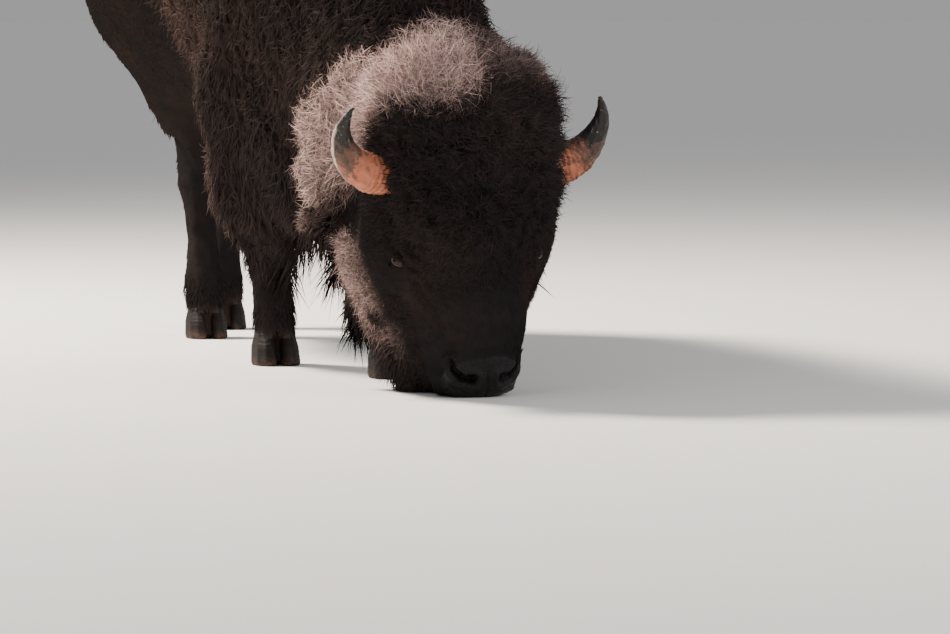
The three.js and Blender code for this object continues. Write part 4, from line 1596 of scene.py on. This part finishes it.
def start_material(name: str, **values: object) -> tuple[Material, Tree, Node]:
    """Starts a material with its shader.

    Args:
        name: The material's name.
        values: What the shader's own sockets are set to, with spaces written as underscores.

    Returns:
        The material, its tree and its shader.
    """
    material = bpy.data.materials.new(name)
    material.use_nodes = True
    nodes = material.node_tree.nodes
    shader = next(node for node in nodes if node.type == "BSDF_PRINCIPLED")
    tree = Tree(material.node_tree)
    tree.feed(shader, {word.replace("_", " "): value for word, value in values.items()})
    return material, tree, shader


@dataclass(frozen=True)
class HairFinish:
    """Dry, woolly hair."""

    roughness: float = 0.62

    def make(self, groups: Groups) -> Material:
        """Builds the material.

        Args:
            groups: The shared node groups.

        Returns:
            The material.
        """
        material, tree, shader = start_material("hair", Roughness=self.roughness, Specular_IOR_Level=0.0)
        along, chance, _ = tree.parts(tree.kept("strand"))
        inputs = {"Marks": tree.kept("marks"), "Along": along, "Chance": chance, "Vector": tree.place()}
        tree.feed(shader, {"Base Color": tree.group(groups.hair, inputs)})
        return material


@dataclass(frozen=True)
class HideFinish:
    """The skin: short hair lying flat, a bare wet nose and leathery lids, with a painted highlight along the
    lower lids' edge and painted shade in the nostrils.
    """

    leather: Pair = (rgb(0.005, 0.0045, 0.0045), rgb(0.014, 0.0125, 0.0125))
    # Painted shade: the nostrils' inside is darker than the leather.
    nostril: Colour = rgb(0.002, 0.0015, 0.0015)
    # The colour of the painted highlight on the lower lids' edge.
    lids: Pair = (rgb(0.10, 0.065, 0.050), rgb(0.26, 0.18, 0.145))
    strand_size: Place = (260.0, 260.0, 45.0)
    strand_height: float = 0.8
    # The skin counts as lying near the tufts' roots, so it gets the same painted shade.
    hair_along: float = 0.42
    nose_shine: float = 0.13
    roughness: Span = (0.72, 0.38)

    def make(self, groups: Groups) -> Material:
        """Builds the material.

        Args:
            groups: The shared node groups.

        Returns:
            The material.
        """
        material, tree, shader = start_material("hide", Specular_IOR_Level=0.0)
        place = tree.place()
        nose, rim, pit = tree.parts(tree.kept("bare"))
        strands = tree.noise(tree.stretched(self.strand_size), 1.0, 3.0, 0.6)
        inputs = {"Marks": tree.kept("marks"), "Along": self.hair_along, "Chance": strands, "Vector": place}
        # Painted shade in the nostril pits.
        leather = tree.mix(pit, tree.mottled(place, 90.0, 3.0, self.leather), self.nostril)
        colour = tree.mix(nose, tree.group(groups.hair, inputs), leather)
        lids = tree.mottled(place, 220.0, 3.0, self.lids)
        # Painted highlight along the lower lids' wet edge.
        colour = tree.mix(tree.spread(rim, 0.25, 0.8), colour, lids)
        rough = tree.spread(nose, 0, 1, self.roughness)
        shine = tree.times(nose, self.nose_shine)
        tree.feed(shader, {"Base Color": colour, "Specular IOR Level": shine, "Roughness": rough})
        pebbles = tree.node("ShaderNodeTexVoronoi", {"Vector": place, "Scale": 330.0}, feature="F1")
        height = tree.times(pebbles.outputs["Distance"], nose)
        tree.bump(shader, tree.plus(tree.times(strands, self.strand_height), height), 0.7, 0.0022)
        return material


@dataclass(frozen=True)
class HornFinish:
    """A worn horn: dusty and reddish at its base, grey-brown, with a black tip, and a painted highlight
    along its outer edge.
    """

    base: Pair = (rgb(0.24, 0.062, 0.030), rgb(0.54, 0.185, 0.100))
    middle: Pair = (rgb(0.036, 0.016, 0.010), rgb(0.150, 0.070, 0.044))
    tip: Pair = (rgb(0.006, 0.005, 0.005), rgb(0.022, 0.018, 0.017))
    pale: Colour = rgb(0.55, 0.45, 0.38)
    middle_start: Span = (0.42, 0.54)
    tip_start: Span = (0.58, 0.74)
    scratch_size: Place = (60.0, 420.0, 90.0)
    scratch_turn: Place = (0.4, 0.3, 0.9)

    def make(self, groups: Groups) -> Material:
        """Builds the material.

        Args:
            groups: The shared node groups.

        Returns:
            The material.
        """
        shine = {"Specular_IOR_Level": 0.3, "Coat_Weight": 0.04, "Coat_Roughness": 0.3}
        material, tree, shader = start_material("horn", **shine)
        place = tree.place()
        along, rings, edge = tree.parts(tree.kept("wear_and_painted_light"))
        patches = tree.noise(place, 42.0, 5.0, 0.7)
        wander = tree.plus(along, tree.spread(patches, 0.3, 0.7, (-0.16, 0.16)))
        base = tree.mottled(place, 60.0, 4.0, self.base)
        middle = tree.mottled(place, 45.0, 4.0, self.middle)
        tip = tree.mottled(place, 80.0, 3.0, self.tip)
        colour = tree.mix(tree.spread(wander, *self.middle_start), base, middle)
        colour = tree.mix(tree.spread(wander, *self.tip_start), colour, tip)
        scratch = tree.stretched(self.scratch_size, self.scratch_turn)
        nicks = tree.spread(tree.noise(scratch, 1.0, 4.0, 0.7), 0.62, 0.72)
        pale = tree.times(nicks, tree.spread(along, 0.45, 0.7, (0.1, 0.75)), True)
        # The pale mix holds real nicks and the painted highlight on the outer edge.
        pale = tree.maths("MAXIMUM", pale, tree.times(edge, 0.85))
        colour = tree.mix(pale, colour, self.pale)
        amount = tree.spread(along, 0.2, 0.7, (0.2, 0.0))
        dusty = tree.group(groups.dust, {"Color": colour, "Amount": amount, "Vector": place})
        rough = tree.spread(tree.plus(along, nicks), 0.4, 1.4, (0.62, 0.34))
        tree.feed(shader, {"Base Color": dusty, "Roughness": rough})
        fibre = tree.plus(tree.times(rings, 0.6), tree.noise(scratch, 0.8, 3.0))
        tree.bump(shader, fibre, 0.8, 0.0012)
        return material


@dataclass(frozen=True)
class HoofFinish:
    """A dull, dark hoof with a worn, dusty rim."""

    wall: Pair = (rgb(0.0045, 0.004, 0.004), rgb(0.012, 0.009, 0.008))
    ring_size: Place = (12.0, 12.0, 190.0)
    dust: Span = (0.35, 0.02)

    def make(self, groups: Groups) -> Material:
        """Builds the material.

        Args:
            groups: The shared node groups.

        Returns:
            The material.
        """
        material, tree, shader = start_material("hoof", Roughness=0.6, Specular_IOR_Level=0.14)
        place = tree.place()
        level = tree.node("ShaderNodeSeparateXYZ", {0: place}).outputs[2]
        bands = tree.noise(tree.stretched(self.ring_size), 1.0, 3.0)
        low = tree.spread(level, 0.0, 0.025, self.dust)
        inputs = {"Color": tree.mix(bands, *self.wall), "Amount": low, "Vector": place}
        tree.feed(shader, {"Base Color": tree.group(groups.dust, inputs)})
        tree.bump(shader, bands, 0.4, 0.0018)
        return material


@dataclass(frozen=True)
class EyeFinish:
    """A dark, wet eye with a level pupil."""

    pupil: Colour = rgb(0.002, 0.002, 0.002)
    iris: Pair = (rgb(0.010, 0.0045, 0.0022), rgb(0.040, 0.017, 0.008))
    white: Pair = (rgb(0.10, 0.060, 0.045), rgb(0.22, 0.15, 0.12))
    iris_edge: Span = (0.62, 0.74)

    def make(self) -> Material:
        """Builds the material.

        Returns:
            The material.
        """
        shine = {"Roughness": 0.25, "Specular_IOR_Level": 0.2}
        film = {"Coat_Weight": 0.2, "Coat_Roughness": 0.03, "Coat_IOR": 1.36}
        material, tree, shader = start_material("eye", **shine, **film)
        disc, pupil, _ = tree.parts(tree.kept("look"))
        iris = tree.mottled(tree.place(), 700.0, 3.0, self.iris)
        white = tree.mottled(tree.place(), 260.0, 4.0, self.white)
        colour = tree.mix(tree.spread(disc, *self.iris_edge), iris, white)
        colour = tree.mix(tree.spread(pupil, 0.9, 1.05), self.pupil, colour)
        tree.feed(shader, {"Base Color": colour})
        return material


# ---------------------------------------------------------------- hard pieces


@dataclass(frozen=True)
class Horn:
    """One horn's sheath, with growth rings near its base and a worn tip; its marks also carry a painted
    highlight on its outer edge and, for a horn in the shade, painted shade.
    """

    word: str
    # Painted shade: how far the horn's dark zones are drawn towards its base, for a horn in the shade.
    painted_horn_shade: float = 0.0
    # How strong the painted highlight on the horn's outer edge is.
    worn: float = 1.0
    voxel: float = 0.003
    rounds: int = 14
    ring_height: float = 0.0009
    flute_height: float = 0.00035
    chip_depth: float = 0.0022
    path: tuple[Place, ...] = (
        (0.150, 0.000, -0.028),
        (0.200, -0.008, -0.020),
        (0.247, -0.020, -0.012),
        (0.283, -0.050, -0.002),
        (0.302, -0.087, 0.018),
        (0.303, -0.123, 0.042),
        (0.288, -0.156, 0.066),
    )

    def build(self) -> Piece:
        """Rounds a copy of the solid and cuts rings, flutes and nicks into it.

        Returns:
            The piece.
        """
        name = f"horn_{self.word}"
        obj, points, normals = rounded(f"{name}_sheath", name, self.voxel, self.rounds)
        path = HEAD.outside(np.array(self.path) * np.array([SIDES[self.word], 1, 1]))
        _, along = off_line(points, path)
        wobble = Waves(31, 0.03).level(points)
        rings = np.sin(along * 150 + wobble * 0.9) * ease(0.72, 0.30, along)
        flutes = Waves(32, 0.008).level(points * np.array([1, 1, 0.25]))
        chips = ease(0.9, 1.6, Waves(33, 0.022).level(points)) * ease(0.35, 0.8, along)
        rise = self.ring_height * rings + self.flute_height * flutes - self.chip_depth * chips
        set_points(obj.data, points + normals * rise[:, None])
        # Painted highlight: the upper horn's outer, back-facing side is made pale where light from behind
        # catches it.
        out = HEAD.rows()[0] * SIDES[self.word]
        facing = normals @ unit(out - 0.4 * HEAD.rows()[2])
        edge = ease(0.70, 0.98, facing) * ease(0.35, 0.55, along) * self.worn
        # Painted shade: a horn in the shade has its dark zones drawn down towards its base.
        shaded_along = np.clip(along + self.painted_horn_shade * ease(0.0, 0.35, along), 0, 1)
        set_colours(obj.data, "wear_and_painted_light", np.stack([shaded_along, rings * 0.5 + 0.5, edge], 1))
        shade_smooth(obj.data)
        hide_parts(name)
        return obj


@dataclass(frozen=True)
class Hoof:
    """One claw of a hoof, or a dewclaw."""

    node: str
    taper: float = 0.17
    point: float = 0.0
    scale: float = 1.0
    voxel: float = 0.0035
    rounds: int = 6
    ring_height: float = 0.0003

    def build(self) -> Piece:
        """Rounds a copy of the solid and rings its wall.

        Returns:
            The piece.
        """
        obj, points, normals = rounded(f"{self.node}_wall", self.node, self.voxel, self.rounds)
        low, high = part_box(self.node)
        wall = ease(low.z + 0.002, low.z + 0.010, points[:, 2])
        middle = (np.array(low) + np.array(high))[:2] / 2
        level = (points[:, 2] - low.z) / (high.z - low.z)
        narrow = 1 - self.taper * ease(0.5, 1.0, level) - self.point * ease(0.7, 0.0, level)
        points[:, :2] = middle + (points[:, :2] - middle) * (narrow * self.scale)[:, None]
        rings = np.sin(points[:, 2] * 620 + Waves(41, 0.05).level(points))
        points = points + normals * (rings * self.ring_height * wall)[:, None]
        points[:, 2] = np.clip(points[:, 2], low.z, high.z)
        set_points(obj.data, points)
        shade_smooth(obj.data)
        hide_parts(self.node)
        return obj


@dataclass(frozen=True)
class Eye:
    """An eyeball with a raised cornea."""

    word: str
    cornea: float = 0.0125
    cornea_height: float = 0.0022
    pupil: Span = (0.0085, 0.0042)

    def build(self) -> Piece:
        """Turns a ball to the eye's facing and raises its cornea.

        Returns:
            The piece.
        """
        seat = EYES[self.word]
        shape = bmesh.new()
        bmesh.ops.create_uvsphere(shape, u_segments=48, v_segments=32, radius=seat.radius)
        mesh = bpy.data.meshes.new(f"eyeball_{self.word}")
        shape.to_mesh(mesh)
        shape.free()
        points = get_points(mesh)
        wide = np.hypot(points[:, 0], points[:, 1])
        front = points[:, 2] > 0
        points[:, 2] += self.cornea_height * ease(self.cornea, 0.0, wide) * front
        pupil = np.hypot(points[:, 0] / self.pupil[0], points[:, 1] / self.pupil[1])
        look = np.stack([wide / seat.radius + (~front) * 2, pupil], 1)
        set_points(mesh, HEAD.outside(seat.centre() + points @ seat.rows()))
        if np.linalg.det(seat.rows()) * np.linalg.det(HEAD.rows()) < 0:
            mesh.flip_normals()
        set_colours(mesh, "look", np.clip(look, 0, 4))
        shade_smooth(mesh)
        obj = new_object(f"eyeball_{self.word}", mesh)
        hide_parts(f"eye_{self.word}")
        return obj


# ---------------------------------------------------------------- the studio


@dataclass(frozen=True)
class Studio:
    """A pale floor, soft lights and the camera."""

    eye: Place = (-2.820, -11.780, 0.871)
    heading: float = math.radians(15.5)
    tilt: float = math.radians(3.628)
    lens: float = 189.47
    sensor: float = 36.0
    farthest: float = 200.0
    room: Tint = (0.90, 0.92, 0.95)
    room_power: float = 0.55
    paint: Tint = (0.76, 0.735, 0.71)
    floor_size: float = 400.0
    lit: Place = (0, -0.4, 0.7)

    def build(self) -> None:
        """Builds them all."""
        self.floor()
        self.light("key", (-2.9, 2.9, 5.3), 1.2, 1700, (1.0, 0.91, 0.82))
        self.light("front_fill", (5.0, -5.0, 3.2), 4.0, 260, (1.0, 0.98, 0.96))
        self.light("side_fill", (-4.5, -5.0, 2.0), 4.0, 60, (0.94, 0.97, 1.0))
        self.world()
        self.camera()

    def floor(self) -> None:
        """Lays the floor."""
        shape = bmesh.new()
        bmesh.ops.create_grid(shape, x_segments=2, y_segments=2, size=self.floor_size)
        floor = from_shape("floor", shape)
        material, tree, shader = start_material("floor_paint", Roughness=0.85, Specular_IOR_Level=0.2)
        darker, paler = (rgb(*(level * share for level in self.paint)) for share in (0.98, 1.02))
        tree.feed(shader, {"Base Color": tree.mottled(tree.place(), 1.5, 3.0, (darker, paler))})
        floor.data.materials.append(material)

    def light(self, name: str, at: Place, size: float, power: float, tint: Tint) -> None:
        """Hangs a soft light that faces the animal.

        Args:
            name: The light's name.
            at: Its place.
            size: Its side.
            power: Its power in watts.
            tint: Its colour.
        """
        lamp = bpy.data.lights.new(name, "AREA")
        lamp.size = size
        lamp.energy = power
        lamp.color = tint
        obj = new_object(name, lamp)
        obj.location = at
        obj.rotation_euler = (Vector(self.lit) - Vector(at)).to_track_quat("-Z", "Y").to_euler()

    def world(self) -> None:
        """Fills the room with pale light."""
        world = bpy.data.worlds.new("studio")
        world.use_nodes = True
        tree = Tree(world.node_tree)
        back = world.node_tree.nodes["Background"]
        seen = tree.node("ShaderNodeLightPath").outputs["Is Camera Ray"]
        shown = rgb(*(a * b for a, b in zip(self.room, self.paint)))
        tree.feed(back, {"Color": tree.mix(seen, rgb(*self.room), shown), "Strength": self.room_power})
        bpy.context.scene.world = world

    def camera(self) -> None:
        """Sets up the camera."""
        data = bpy.data.cameras.new("camera")
        data.lens = self.lens
        data.sensor_width = self.sensor
        data.clip_end = self.farthest
        obj = new_object("camera", data)
        level = math.cos(self.tilt)
        aim = Vector((math.sin(self.heading) * level, math.cos(self.heading) * level, -math.sin(self.tilt)))
        obj.location = self.eye
        obj.rotation_euler = aim.to_track_quat("-Z", "Y").to_euler()
        bpy.context.scene.camera = obj


# ---------------------------------------------------------------- putting it together


FRINGED = (Region.BONNET, Region.NECK, Region.CHEEK, Region.EAR)
FURS = [
    Fur("coat_bonnet_right", (Region.BONNET,), 150_000, 1, "head_hair", 11, side=-1, lock=22),
    Fur("coat_bonnet_left", (Region.BONNET,), 140_000, 1, "head_hair", 12, side=1, lock=22),
    Fur("coat_bonnet_tips", (Region.BONNET,), 72_000, 2, "head_hair", 24, 1.35, 0.72, stray=0.4),
    Fur(
        "coat_fringe", FRINGED, 150_000, 3, "head_hair", 25, 0.92, 0.48,
        stray=0.5, turns=3.2, only="fringe",
    ),
    Fur("coat_face", (Region.FACE,), 150_000, 1, "head_hair", 13),
    Fur("coat_cheeks", (Region.CHEEK,), 78_000, 1, "head_hair", 14),
    Fur("coat_beard", (Region.BEARD,), 60_000, 2, "head_hair", 15),
    Fur("coat_neck", (Region.NECK,), 150_000, 1, "mane", 16, lock=16),
    Fur("coat_shoulders", (Region.SHOULDER,), 184_000, 1, "mane", 17, lock=14),
    Fur("coat_chaps", (Region.CHAPS,), 120_000, 2, "chaps", 18),
    Fur("coat_barrel", (Region.BARREL,), 102_000, 1, "body_coat", 19),
    Fur("coat_hindquarters", (Region.RUMP,), 96_000, 1, "body_coat", 20),
    Fur("coat_shanks", (Region.SHANK,), 60_000, 1, "shank", 21),
    Fur("coat_ears", (Region.EAR,), 18_000, 1, "head_hair", 22),
    Fur("coat_tail", (Region.TAIL, Region.TAIL_TUFT), 30_000, 2, "tail_tuft", 23),
]


# The left horn, in the shade, gets painted shade and a weaker painted highlight.
HORNS = {"right": Horn("right"), "left": Horn("left", painted_horn_shade=0.12, worn=0.3)}


def settle(piece: Piece, material: Material) -> None:
    """Gives a piece its material, slot and body, and reports it.

    Args:
        piece: The piece.
        material: Its material.
    """
    piece.data.materials.clear()
    piece.data.materials.append(material)
    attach(piece, BODY)
    LOG.info("%s: %d faces", piece.name, len(piece.data.polygons))


def main() -> None:
    """Builds the bison, piece by piece."""
    groups = Groups()
    hide, hair = HideFinish().make(groups), HairFinish().make(groups)
    horn, hoof, eye = HornFinish().make(groups), HoofFinish().make(groups), EyeFinish().make()
    skin = Skin()
    piece = skin.build()
    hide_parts(*flesh())
    settle(piece, hide)
    scalp = Scalp(skin)
    for fur in FURS:
        settle(fur.build(scalp), hair)
    for word in SIDES:
        settle(HORNS[word].build(), horn)
        settle(Eye(word).build(), eye)
    for node in sorted(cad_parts):
        if "hoof" in node or "dewclaw" in node:
            claw = Hoof(node, point=0.55, scale=0.86) if "dewclaw" in node else Hoof(node)
            settle(claw.build(), hoof)
    Studio().build()


if __name__ == "__main__":
    logging.basicConfig(level=logging.INFO, format="%(message)s")
    main()
